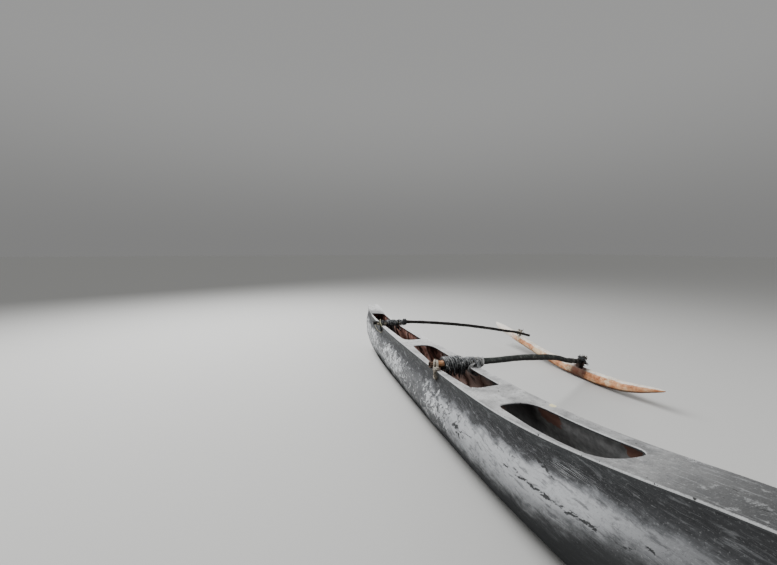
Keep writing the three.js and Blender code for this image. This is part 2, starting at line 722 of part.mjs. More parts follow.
function makeTail() {
  const path = new THREE.CatmullRomCurve3(TAIL.map((p) => new THREE.Vector3(...p)));
  const section = new THREE.Shape();
  for (let i = 0; i <= 8; i += 1) {
    const angle = (2 * Math.PI * i) / 8;
    const [x, y] = [TAIL_RADIUS * Math.cos(angle), TAIL_RADIUS * Math.sin(angle)];
    if (i === 0) section.moveTo(x, y);
    else section.lineTo(x, y);
  }
  return new THREE.ExtrudeGeometry(section, { steps: 28, extrudePath: path, bevelEnabled: false });
}

function makeFloat() {
  const pegs = Object.values(BOOMS).flatMap((boom) => SIDES.map((side) => makePeg(boom, side, GAP)));
  return pegs.reduce((log, peg) => log.subtract(peg), floatBody(0));
}

const COLOURS = {
  hull: [0x8d9093, 0.75], inside: [0x6b3f30, 0.9], pole: [0x4b463f, 0.9], rope: [0x9b9284, 1],
  rag: [0x5a5a58, 1], float: [0xb9a98f, 0.85], peg: [0xb0703a, 0.8],
};

function finish(name) {
  const [color, roughness] = COLOURS[name];
  return new THREE.MeshStandardMaterial({ color, roughness, metalness: 0 });
}

const canoe = new THREE.Group();

function add(name, geometry, look) {
  const mesh = new THREE.Mesh(geometry, finish(look));
  mesh.name = name;
  canoe.add(mesh);
}

for (const [name, piece] of Object.entries(hullPieces())) add(name, geometryOf(piece), 'hull');
for (const [name, piece] of Object.entries(deckPieces())) add(name, geometryOf(piece), 'hull');
RIB_YS.forEach((y, i) => add(`rib_${i + 1}`, geometryOf(makeRib(y)), 'inside'));
for (const [name, boom] of Object.entries(BOOMS)) {
  add(`boom_${name}`, geometryOf(boomBody(boom, 0)), 'pole');
  add(`bar_${name}`, geometryOf(barBody(boom, 0)), 'peg');
  add(`winding_${name}`, geometryOf(makeWinding(boom)), 'rag');
  add(`collar_${name}`, geometryOf(makeCollar(boom)), 'rope');
  add(`lashing_${name}_port`, geometryOf(makeLashing(boom, -1)), 'rope');
  add(`lashing_${name}_starboard`, geometryOf(makeLashing(boom, 1)), 'rope');
  SIDES.forEach((side, i) => add(`peg_${name}_${i + 1}`, geometryOf(makePeg(boom, side, 0)), 'peg'));
  add(`float_lashing_${name}`, geometryOf(makeFloatLashing(boom)), 'rope');
}
add('chock_near', geometryOf(makeChock(BOOMS.near)), 'pole');
add('rope_tail', geometryOf(solid(makeTail())), 'rope');
add('float_log', geometryOf(makeFloat()), 'float');

export default canoe;
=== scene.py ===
"""A weathered outrigger canoe on a pale floor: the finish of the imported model.

Metres, +Z up, +Y towards the far end, +X towards the float.
"""

import math

import bmesh
import bpy
import numpy as np
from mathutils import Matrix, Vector, geometry, noise
from mathutils.bvhtree import BVHTree


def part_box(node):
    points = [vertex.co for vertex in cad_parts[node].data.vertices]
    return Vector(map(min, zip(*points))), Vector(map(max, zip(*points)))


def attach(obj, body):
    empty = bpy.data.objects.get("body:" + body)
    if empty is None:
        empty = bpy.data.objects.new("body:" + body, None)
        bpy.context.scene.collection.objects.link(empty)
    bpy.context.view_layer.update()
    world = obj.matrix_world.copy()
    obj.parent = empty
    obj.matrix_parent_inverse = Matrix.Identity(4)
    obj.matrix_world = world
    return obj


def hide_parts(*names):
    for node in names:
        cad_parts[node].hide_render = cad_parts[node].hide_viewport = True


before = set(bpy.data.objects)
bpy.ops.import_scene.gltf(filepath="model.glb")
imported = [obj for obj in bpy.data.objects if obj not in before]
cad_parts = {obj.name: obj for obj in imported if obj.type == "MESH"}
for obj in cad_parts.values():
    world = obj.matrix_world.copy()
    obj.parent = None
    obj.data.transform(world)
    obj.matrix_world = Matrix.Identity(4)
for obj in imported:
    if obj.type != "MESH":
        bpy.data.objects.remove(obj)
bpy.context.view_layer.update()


def named(*starts):
    """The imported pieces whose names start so."""
    return [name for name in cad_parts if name.startswith(starts)]


HULL_NODES = named("keel_board", "hull_", "stem_")
DECK_NODES = named("deck_", "bridge_", "side_deck_")
WALL = 0.011  # hull skin
DECK = 0.012  # deck thickness
SEAM = 0.0003  # between hull and deck
CIRCLE = 2 * math.pi
SHARP = 50  # degrees: edges past it stay sharp

# The camera's place, and its turn from looking along +Y.
EYE = (-1.45, -2.28, 1.51)
PHOTO_WIDTH = 777  # pixels
FOCAL = 350  # pixels
TURN_RIGHT = math.radians(18.7)
PITCH_DOWN = math.radians(5.55)
SENSOR = 36  # mm


# Small tools

def shown(name, data):
    """A new object with that data, in the scene."""
    obj = bpy.data.objects.new(name, data)
    bpy.context.scene.collection.objects.link(obj)
    return obj


def make_camera():
    data = bpy.data.cameras.new("camera")
    data.sensor_width = SENSOR
    data.lens = SENSOR * FOCAL / PHOTO_WIDTH
    data.clip_start = 0.05
    data.clip_end = 500
    camera = shown("camera", data)
    camera.location = EYE
    camera.rotation_euler = (math.pi / 2 - PITCH_DOWN, 0, -TURN_RIGHT)
    bpy.context.scene.camera = camera


make_camera()


def linear(code):
    """The linear colour of an sRGB hex code."""
    parts = [int(code[i:i + 2], 16) / 255 for i in (0, 2, 4)]
    return [p / 12.92 if p <= 0.04045 else ((p + 0.055) / 1.055) ** 2.4 for p in parts] + [1.0]


def add(tree, kind, inputs=None, stops=(), **settings):
    """Adds a node with its settings and a ramp's stops, and fills its inputs with values or links.
    Returns its outputs."""
    node = tree.nodes.new(kind)
    for key, value in settings.items():
        setattr(node, key, value)
    for name, value in (inputs or {}).items():
        if isinstance(value, bpy.types.NodeSocket):
            tree.links.new(value, node.inputs[name])
        else:
            node.inputs[name].default_value = value
    if stops:
        elements = node.color_ramp.elements
        elements.remove(elements[1])
        for i, (place_at, code) in enumerate(stops):
            element = elements.new(place_at) if i else elements[0]
            element.position = place_at
            element.color = linear(code)
    return node.outputs


def total(tree, base, *terms):
    """A value plus others, each with its weight. With two ends given as well, a value first runs
    from 0 at the one to 1 at the other."""
    for value, weight, *ends in terms:
        if ends:
            value = add(tree, "ShaderNodeMapRange", {"Value": value, "From Min": ends[0],
                        "From Max": ends[1]})[0]
        base = add(tree, "ShaderNodeMath", {0: value, 1: weight, 2: base},
                   operation="MULTIPLY_ADD")[0]
    return base


def mesh_object(name, vertices, faces, materials, sharp=SHARP, spots=None):
    """A smooth mesh object whose edges stay sharp past an angle in degrees. Its skin may have a
    map: for each face, the places of its corners."""
    mesh = bpy.data.meshes.new(name)
    mesh.from_pydata([tuple(v) for v in vertices], [], [tuple(f) for f in faces])
    mesh.validate()
    for material in materials:
        mesh.materials.append(material)
    mesh.shade_smooth()
    mesh.set_sharp_from_angle(angle=math.radians(sharp))
    if spots:
        uv = mesh.uv_layers.new(name="skin")
        uv.data.foreach_set("uv", np.array([p for face in spots for p in face]).ravel())
    return shown(name, mesh)


def worked_out(obj):
    """The plain mesh that an object has with its modifiers."""
    graph = bpy.context.evaluated_depsgraph_get()
    return bpy.data.meshes.new_from_object(obj.evaluated_get(graph), depsgraph=graph)


def settle(obj):
    """Turns an object with its modifiers into a plain mesh."""
    mesh = worked_out(obj)
    obj.modifiers.clear()
    obj.data = mesh


def place(obj, slot, *nodes):
    """Parents a finished piece to the root body and hides the imported pieces it stands in for."""
    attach(obj, "root")
    if nodes:
        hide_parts(*nodes)


def recolour(name, material):
    """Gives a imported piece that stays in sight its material."""
    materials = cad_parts[name].data.materials
    materials.clear()
    materials.append(material)


def unit(rows):
    """Vectors brought to length 1."""
    return rows / np.linalg.norm(rows, axis=-1)[..., None]


def centre_of(points):
    return (points.min(axis=0) + points.max(axis=0)) / 2


def run_along(points):
    """The distance along a line up to each of its points."""
    return np.concatenate([[0], np.cumsum(np.linalg.norm(np.diff(points, axis=0), axis=1))])


def curve_through(knots, rows, where):
    """Reads rows of numbers, given at rising knots, on a smooth curve at other places."""
    rows = np.asarray(rows, float).reshape(len(knots), -1)
    slopes = np.gradient(rows, knots, axis=0)
    i = np.clip(np.searchsorted(knots, where, side="right") - 1, 0, len(knots) - 2)
    span = (knots[i + 1] - knots[i])[:, None]
    t = (where - knots[i])[:, None] / span
    return ((2 * t**3 - 3 * t**2 + 1) * rows[i] + (t**3 - 2 * t**2 + t) * span * slopes[i]
            + (3 * t**2 - 2 * t**3) * rows[i + 1] + (t**3 - t**2) * span * slopes[i + 1])


def resample(points, count):
    """The same line as a number of points an even distance apart, and its length."""
    run = run_along(points)
    return curve_through(run, points, np.linspace(0, run[-1], count)), run[-1]


def vertices_of(*names):
    return np.array([v.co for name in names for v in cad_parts[name].data.vertices])


def tree_of(*names):
    """A search tree of the faces of some nodes."""
    vertices, faces = [], []
    for name in names:
        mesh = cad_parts[name].data
        start = len(vertices)
        vertices += [v.co.copy() for v in mesh.vertices]
        faces += [[start + i for i in p.vertices] for p in mesh.polygons]
    return BVHTree.FromPolygons(vertices, faces)


def bump_field(points, size, seed=0.0):
    """A smooth random height from -1 to 1 at each point, with bumps of that size in metres."""
    return np.array([noise.noise(Vector(p) / size + Vector((seed, seed, seed))) for p in points])


def gap_to_loop(points, loop):
    """The distance in plan from each point to a closed line."""
    best = np.full(len(points), 1e9)
    for start, step in zip(loop, np.roll(loop, -1, axis=0) - loop):
        t = np.clip(((points - start) @ step) / max(step @ step, 1e-12), 0, 1)
        best = np.minimum(best, np.linalg.norm(points - start - t[:, None] * step, axis=1))
    return best


def inside_loop(points, loop):
    """Which points lie inside a closed line in plan."""
    x, y = points[:, 0], points[:, 1]
    inside = np.zeros(len(points), bool)
    for (x0, y0), (x1, y1) in zip(loop, np.roll(loop, -1, axis=0)):
        if y0 != y1:
            crosses = (y0 > y) != (y1 > y)
            inside ^= crosses & (x < x0 + (y - y0) / (y1 - y0) * (x1 - x0))
    return inside


# Round pieces: rings of points joined into one skin

def slice_of(name, axis, at):
    """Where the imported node's surface crosses a plane across an axis."""
    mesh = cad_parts[name].data
    ends = vertices_of(name)[[list(edge) for polygon in mesh.polygons for edge in polygon.edge_keys]]
    side = ends[:, :, axis] - at
    cut = side[:, 0] * side[:, 1] < 0
    share = side[cut, 0] / (side[cut, 0] - side[cut, 1])
    return ends[cut, 0] + share[:, None] * (ends[cut, 1] - ends[cut, 0])


def pole_line(name, trim=0.03, count=60):
    """The middle line of a packed pole that runs along X, and its radius along it."""
    low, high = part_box(name)
    rows = []
    for x in np.linspace(low[0] + trim, high[0] - trim, count):
        ring = slice_of(name, 0, x)
        centre = centre_of(ring)
        angle = np.arctan2(ring[:, 2] - centre[2], ring[:, 1] - centre[1])
        y, z = ring[np.argsort(angle)][:, 1:].T
        area = abs(np.dot(y, np.roll(z, -1)) - np.dot(z, np.roll(y, -1))) / 2
        rows.append([*centre, area])
    rows = np.array(rows)
    line = rows[:, :3]
    tangent = unit(np.gradient(line, axis=0))
    radius = np.sqrt(rows[:, 3] * tangent[:, 0] / math.pi)
    ends = []
    for end, at, way in ((0, low[0], 1), (-1, high[0], -1)):
        lean = math.sqrt(1 - tangent[end, 0] ** 2) * radius[end]
        ends.append(line[end] + (at + way * lean - line[end, 0]) / tangent[end, 0] * tangent[end])
    return np.vstack([ends[0], line, ends[1]]), np.concatenate([radius[:1], radius, radius[-1:]])


def tube(name, rings, along, around, material, sharp=SHARP):
    """A closed skin over rings of points, with distance along and around in its map."""
    rows, count = rings.shape[:2]
    faces, spots = [], []
    for r in range(rows - 1):
        for k in range(count):
            n = (k + 1) % count
            faces.append((r * count + k, r * count + n, (r + 1) * count + n, (r + 1) * count + k))
            corners = ((r, k), (r, k + 1), (r + 1, k + 1), (r + 1, k))
            spots.append([(along[i], around[i] * j / count) for i, j in corners])
    for end, ks in ((0, range(count)[::-1]), (rows - 1, range(count))):
        faces.append([end * count + k for k in ks])
        spots.append([(along[end], around[end] * k / count) for k in ks])
    return mesh_object(name, rings.reshape(-1, 3), faces, [material], sharp, spots)


# Ends of a pole: how far out along it and how wide each ring is, both as shares of the radius.
SAWN = ((0.0, 1.0), (0.05, 0.97), (0.1, 0.9), (0.12, 0.6), (0.12, 0.05))
ROUNDED = ((0.0, 1.0), (0.25, 0.95), (0.45, 0.8), (0.58, 0.55), (0.64, 0.25), (0.65, 0.03))
HOLLOW = ((0.0, 1.0), (0.1, 0.98), (0.15, 0.9), (0.13, 0.76), (0.0, 0.68), (-0.5, 0.6), (-0.9, 0.42),
          (-1.0, 0.03))
PULLED_IN = 0.15  # of the radius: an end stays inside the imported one


def pole(name, line, radii, material, relief, start=SAWN, finish=SAWN, sides=28, step=0.008):
    """A pole along a line. Relief adds to its radius, given distance along and the angle."""
    line, length = resample(line, max(int(np.linalg.norm(line[-1] - line[0]) / step), 6))
    run = np.linspace(0, length, len(line))
    radius = np.interp(run, np.linspace(0, length, len(radii)), radii)
    tangent = unit(np.gradient(line, axis=0))
    side = unit(np.cross(tangent, (0, 0, 1)))
    up = np.cross(side, tangent)
    turn = np.linspace(0, CIRCLE, sides, endpoint=False)
    wide = radius[:, None] + relief(*np.meshgrid(run, turn, indexing="ij"))
    out = np.cos(turn)[None, :, None] * side[:, None] + np.sin(turn)[None, :, None] * up[:, None]
    body = line[:, None] + wide[:, :, None] * out
    caps = []
    for end, way, rows in ((0, -1, start), (-1, 1, finish)):
        middle = body[end].mean(axis=0)
        out = way * radius[end] * tangent[end]
        caps.append([middle + (body[end] - middle) * share + (reach - PULLED_IN) * out
                     for reach, share in rows][::way])
    rings = np.concatenate([caps[0], body[1:-1], caps[1]])
    along = np.concatenate([np.full(len(start), run[0]), run[1:-1], np.full(len(finish), run[-1])])
    return tube(name, rings, along, np.full(len(rings), CIRCLE * radius.mean()), material)


FRACTAL = (0.6, 2.1, 4)  # how finer lumps fade, how much finer each is, and how many sizes


def noisy(size_along, size_round, height, seed):
    """A relief of smooth lumps, longer along the pole than round it."""
    def relief(run, turn):
        points = np.stack([run / size_along, np.cos(turn) / size_round, np.sin(turn) / size_round + seed], -1)
        lumps = [noise.fractal(Vector(p), *FRACTAL) for p in points.reshape(-1, 3)]
        return height * np.array(lumps).reshape(run.shape)
    return relief


# Ropes and strips: node trees that draw a skin along paths

STRAND_OFF, STRAND_RADIUS = 0.52, 0.5  # of the rope's radius
STRAND_WANDER = 0.0004
SKIN_SIDES = 7
STRIP_WIDTHS = (0.6, 1.4)  # of the width asked for
STRIP_TURN = 1.5  # at most, either way


def path_tree(name, sizes, build):
    """A node tree that draws a skin along the curves it is given. Build makes the inputs of that
    skin from the tree and from what it is given, and sizes names the inputs for that."""
    tree = bpy.data.node_groups.new(name, "GeometryNodeTree")
    kinds = {label: "Int" if isinstance(value, int) else "Float" for label, value in sizes.items()}
    for label, kind in {"Path": "Geometry", **kinds, "Material": "Material"}.items():
        socket = tree.interface.new_socket(label, in_out="INPUT", socket_type="NodeSocket" + kind)
        if label in sizes:
            socket.default_value = sizes[label]
    tree.interface.new_socket("Geometry", in_out="OUTPUT", socket_type="NodeSocketGeometry")
    given = add(tree, "NodeGroupInput")
    skin = add(tree, "GeometryNodeCurveToMesh", {**build(tree, given), "Fill Caps": True})[0]
    for kind in ("GeometryNodeSetShadeSmooth", "GeometryNodeRealizeInstances", "GeometryNodeSetMaterial"):
        skin = add(tree, kind, {"Geometry": skin})[0]
    tree.links.new(given["Material"], skin.node.inputs["Material"])
    add(tree, "NodeGroupOutput", {"Geometry": skin})
    return tree


def three_strands(tree, given):
    """Three strands laid round each path, a whole number of times along it."""
    path = add(tree, "GeometryNodeResampleCurve", {"Curve": given["Path"], "Length": given["Step"]},
               mode="LENGTH")[0]
    length = add(tree, "GeometryNodeSplineLength")["Length"]
    lays = add(tree, "ShaderNodeMath", {0: length, 1: given["Lay length"]}, operation="DIVIDE")[0]
    lays = add(tree, "ShaderNodeMath", {0: lays}, operation="ROUND")[0]
    share = add(tree, "GeometryNodeSplineParameter")["Factor"]
    turn = total(tree, 0.0, (share, lays))
    normal = add(tree, "GeometryNodeInputNormal")[0]
    tangent = add(tree, "GeometryNodeInputTangent")[0]
    cross = add(tree, "ShaderNodeVectorMath", {0: tangent, 1: normal}, operation="CROSS_PRODUCT")[0]
    offset = total(tree, 0.0, (given["Rope radius"], STRAND_OFF))
    wander = add(tree, "FunctionNodeRandomValue", {"Min": (-STRAND_WANDER,) * 3,
                 "Max": (STRAND_WANDER,) * 3, "Seed": given["Seed"]}, data_type="FLOAT_VECTOR")[0]
    joined = add(tree, "GeometryNodeJoinGeometry")[0]
    for strand in range(3):
        angle = total(tree, CIRCLE * strand / 3, (turn, CIRCLE))
        move = wander
        for axis, kind in ((normal, "COSINE"), (cross, "SINE")):
            wave = add(tree, "ShaderNodeMath", {0: angle}, operation=kind)[0]
            reach = total(tree, 0.0, (wave, offset))
            reach = add(tree, "ShaderNodeVectorMath", {0: axis, "Scale": reach}, operation="SCALE")[0]
            move = add(tree, "ShaderNodeVectorMath", {0: move, 1: reach}, operation="ADD")[0]
        laid = add(tree, "GeometryNodeSetPosition", {"Geometry": path, "Offset": move})[0]
        tree.links.new(laid, joined.node.inputs[0])
    thick = total(tree, 0.0, (given["Rope radius"], STRAND_RADIUS))
    circle = add(tree, "GeometryNodeCurvePrimitiveCircle", {"Resolution": SKIN_SIDES, "Radius": thick})[0]
    return {"Curve": joined, "Profile Curve": circle}


def flat_strip(tree, given):
    """One flat strip along each path, as wide as the path's radius says."""
    flat = add(tree, "ShaderNodeCombineXYZ", {"X": given["Strip width"], "Y": given["Strip thickness"],
               "Z": 1.0})[0]
    circle = add(tree, "GeometryNodeCurvePrimitiveCircle", {"Resolution": SKIN_SIDES, "Radius": 0.5})[0]
    profile = add(tree, "GeometryNodeTransform", {"Geometry": circle, "Scale": flat})[0]
    radius = add(tree, "GeometryNodeInputRadius")[0]
    return {"Curve": given["Path"], "Profile Curve": profile, "Scale": radius}


ROPE_TREE = path_tree("laid_rope", {"Rope radius": 0.0045, "Lay length": 0.03, "Step": 0.004, "Seed": 0},
                      three_strands)
STRIP_TREE = path_tree("torn_strip", {"Strip width": 0.01, "Strip thickness": 0.002}, flat_strip)


def curves(name, paths, closed=False):
    """A curve object with one line for each path."""
    data = bpy.data.curves.new(name, "CURVE")
    data.dimensions = "3D"
    for path in paths:
        spline = data.splines.new("POLY")
        spline.points.add(len(path) - 1)
        spline.points.foreach_set("co", np.c_[path, np.ones(len(path))].ravel())
        spline.use_cyclic_u = closed
    return shown(name, data)


def run_tree(obj, tree, **values):
    """Runs a node tree on an object with the values named, and returns a plain mesh object."""
    modifier = obj.modifiers.new("tree", "NODES")
    modifier.node_group = tree
    for item in tree.interface.items_tree:
        key = item.name.replace(" ", "_").lower()
        if item.in_out == "INPUT" and key in values:
            modifier[item.identifier] = values[key]
    mesh = worked_out(obj)
    name = obj.name
    bpy.data.objects.remove(obj)
    return shown(name, mesh)


def rope(name, paths, radius, material, lay, step, closed=False, seed=1):
    """Ropes along one path or more, in one object."""
    return run_tree(curves(name, paths, closed), ROPE_TREE, rope_radius=radius, lay_length=lay, step=step,
                    seed=seed, material=material)


def strips(name, paths, width, thickness, material, seed, tip=0.12):
    """Strips along some paths, of random width and turn, that narrow to a share at their tips."""
    rng = np.random.default_rng(seed)
    obj = curves(name, paths)
    for spline in obj.data.splines:
        share = np.linspace(0, 1, len(spline.points))
        spline.points.foreach_set("radius", rng.uniform(*STRIP_WIDTHS) * (1 - (1 - tip) * share**2))
        turn, twist = (rng.uniform(-STRIP_TURN, STRIP_TURN) for _ in range(2))
        spline.points.foreach_set("tilt", turn + twist * share)
    return run_tree(obj, STRIP_TREE, strip_width=width, strip_thickness=thickness, material=material)


# Materials

def new_material(name, roughness, ior=1.5, level=0.5, sheen=0.0):
    """A material and its tree; pattern nodes are added by the caller."""
    made = bpy.data.materials.new(name)
    made.use_nodes = True
    inputs = made.node_tree.nodes["Principled BSDF"].inputs
    inputs["Roughness"].default_value = roughness
    inputs["IOR"].default_value = ior
    inputs["Specular IOR Level"].default_value = level
    inputs["Sheen Weight"].default_value = sheen
    return made, made.node_tree


def finished(made, colour, height, strength, distance, more=None):
    """Links a colour, a bump as high as height times distance in metres, and any more inputs that
    are named, to the shader."""
    tree = made.node_tree
    bump = add(tree, "ShaderNodeBump", {"Height": height, "Strength": strength,
               "Distance": distance})[0]
    inputs = tree.nodes["Principled BSDF"].inputs
    for name, value in {"Base Color": colour, "Normal": bump, **(more or {})}.items():
        tree.links.new(value, inputs[name])
    return made


def layers(tree, colour, rows):
    """Lays colours over one another. A row is the colour laid over, a value, from where to where
    on it the colour comes in, and how much it covers if not all."""
    for over, value, low, high, *most in rows:
        share = add(tree, "ShaderNodeMapRange", {"Value": value, "From Min": low, "From Max": high,
                    "To Max": most[0] if most else 1.0}, interpolation_type="SMOOTHSTEP")[0]
        under, over = (linear(c) if isinstance(c, str) else c for c in (colour, over))
        colour = add(tree, "ShaderNodeMix", {0: share, 6: under, 7: over}, data_type="RGBA")[2]
    return colour


def pattern(tree, vector, size, detail, roughness=0.62, distortion=0.0):
    """A cloudy noise with patches of a size in mm. Three numbers or four for the size draw it out,
    as grain and scuff marks are: its turn in degrees, then its sizes along, across and up."""
    turn, *sizes = size if isinstance(size, tuple) else (0, size, size, size)
    place_at = add(tree, "ShaderNodeMapping", {"Vector": vector, "Rotation": (0, 0, math.radians(turn)),
                   "Scale": [mm / 1000 for mm in (*sizes, 1000)[:3]]}, vector_type="TEXTURE")[0]
    return add(tree, "ShaderNodeTexNoise", {"Vector": place_at, "Scale": 1.0, "Detail": detail,
               "Roughness": roughness, "Distortion": distortion})["Fac"]


def shaken(tree, vector, source, size_mm, reach, detail, roughness):
    """Places on a skin, moved about in it by half a reach either way, by a noise over a source."""
    cloud = add(tree, "ShaderNodeTexNoise", {"Vector": source, "Scale": 1000 / size_mm, "Detail": detail,
                "Roughness": roughness})["Color"]
    move = add(tree, "ShaderNodeVectorMath", {0: cloud, 1: (reach, reach, 0), 2: (-reach / 2, -reach / 2, 0)},
               operation="MULTIPLY_ADD")[0]
    return add(tree, "ShaderNodeVectorMath", {0: vector, 1: move}, operation="ADD")[0]


def ovals(tree, vector, *rows):
    """The strongest of some soft-edged ovals on a skin, each 1 at its middle and 0 at its edge."""
    most = 0.0
    for u, v, length, width, turn in rows:
        local = add(tree, "ShaderNodeMapping", {"Vector": vector, "Location": (u, v, 0),
                    "Rotation": (0, 0, math.radians(turn)), "Scale": (length / 2, width / 2, 1)},
                    vector_type="TEXTURE")[0]
        oval = add(tree, "ShaderNodeTexGradient", {"Vector": local}, gradient_type="SPHERICAL")["Fac"]
        most = add(tree, "ShaderNodeMath", {0: oval, 1: most}, operation="MAXIMUM")[0]
    return most


def facing_up(tree):
    """How much a surface faces up: 1 on top, -1 underneath."""
    normal = add(tree, "ShaderNodeNewGeometry")["Normal"]
    return add(tree, "ShaderNodeSeparateXYZ", {"Vector": normal})["Z"]


# Ovals on the hull: distance along it, distance down from the deck's edge, length and width in
# metres, and the turn in degrees. First the gouges and stains on the port side.
GOUGES = [
    (-1.02, 0.243, 0.26, 0.022, -2), (-1.17, 0.252, 0.2, 0.032, 3), (-1.27, 0.25, 0.16, 0.02, -4),
    (-0.9, 0.235, 0.14, 0.014, 8), (-0.78, 0.228, 0.1, 0.012, 4), (-0.24, 0.232, 0.12, 0.055, 25),
    (-0.265, 0.25, 0.09, 0.055, -35), (-0.3, 0.262, 0.1, 0.024, -60), (-0.32, 0.246, 0.06, 0.014, 15),
    (-0.39, 0.23, 0.3, 0.007, 6), (-0.85, 0.221, 0.07, 0.018, -20), (-0.98, 0.128, 0.24, 0.022, -19),
    (-1.44, 0.253, 0.05, 0.018, 30), (-1.5, 0.221, 0.05, 0.014, -10), (-0.12, 0.205, 0.13, 0.012, 30),
    (0.05, 0.24, 0.1, 0.02, -30),
]
SCRATCHED = (-1.1, 0.085, 0.48, 0.11, -2)
CHALKY = (1.36, 0.2, 0.75, 0.26, 0)
# Where the pale chalk is scoured off.
SCOURED = [(0.6, 0.22, 0.95, 0.3, -8), (1.8, 0.19, 0.4, 0.14, 0), (0.05, 0.33, 0.5, 0.14, 0)]
# Bands of the hull's side, painted shade in the hollow under the rim and a painted highlight on the belly
# that faces up: depth below the deck's edge in metres, shifted by the streaks.
SHADE_AND_HIGHLIGHT_BANDS = ((0.13, "434547"), (0.17, "37383a"), (0.2, "323335"), (0.235, "444547"), (0.26, "7d7f82"),
         (0.285, "b6b8bb"), (0.32, "babcbf"), (0.42, "a6a8ab"), (0.6, "8a8c8e"))
# Ovals on the inside walls, by distance along and height: paint that is left in the near
# cockpit, and painted shadow where the deck shades the walls black.
PAINT_LEFT = [(-0.6, 0.46, 0.3, 0.17, 0), (-1.17, 0.54, 0.22, 0.11, 10), (-0.95, 0.25, 0.2, 0.1, 0)]
SHADOWED_WALLS = [(-0.25, 0.42, 0.7, 1.1, 0), (2.2, 0.31, 0.5, 0.44, 0)]
# Ovals on the deck, by X and Y: dark chips, a pale one, and a dull place at the far end.
DECK_MARKS = [
    (-0.15, -1.581, 0.02, 0.01, 80), (0.023, -1.601, 0.05, 0.008, 75), (-0.039, -1.7, 0.06, 0.01, 100),
    (0.14, -1.143, 0.03, 0.01, 85), (0.134, -1.185, 0.022, 0.01, 60), (0.128, -1.225, 0.026, 0.008, 90),
    (-0.186, -0.919, 0.024, 0.01, 85), (-0.17, -1.25, 0.018, 0.008, 85), (-0.135, -1.42, 0.02, 0.008, 70),
    (0.03, -0.3, 0.05, 0.012, 60), (-0.05, -0.38, 0.035, 0.01, 110),
]
PALE_CHIP = (0.185, -0.63, 0.06, 0.05, 80)
FAR_SHADE = (-0.08, 2.48, 0.26, 0.5, 90)


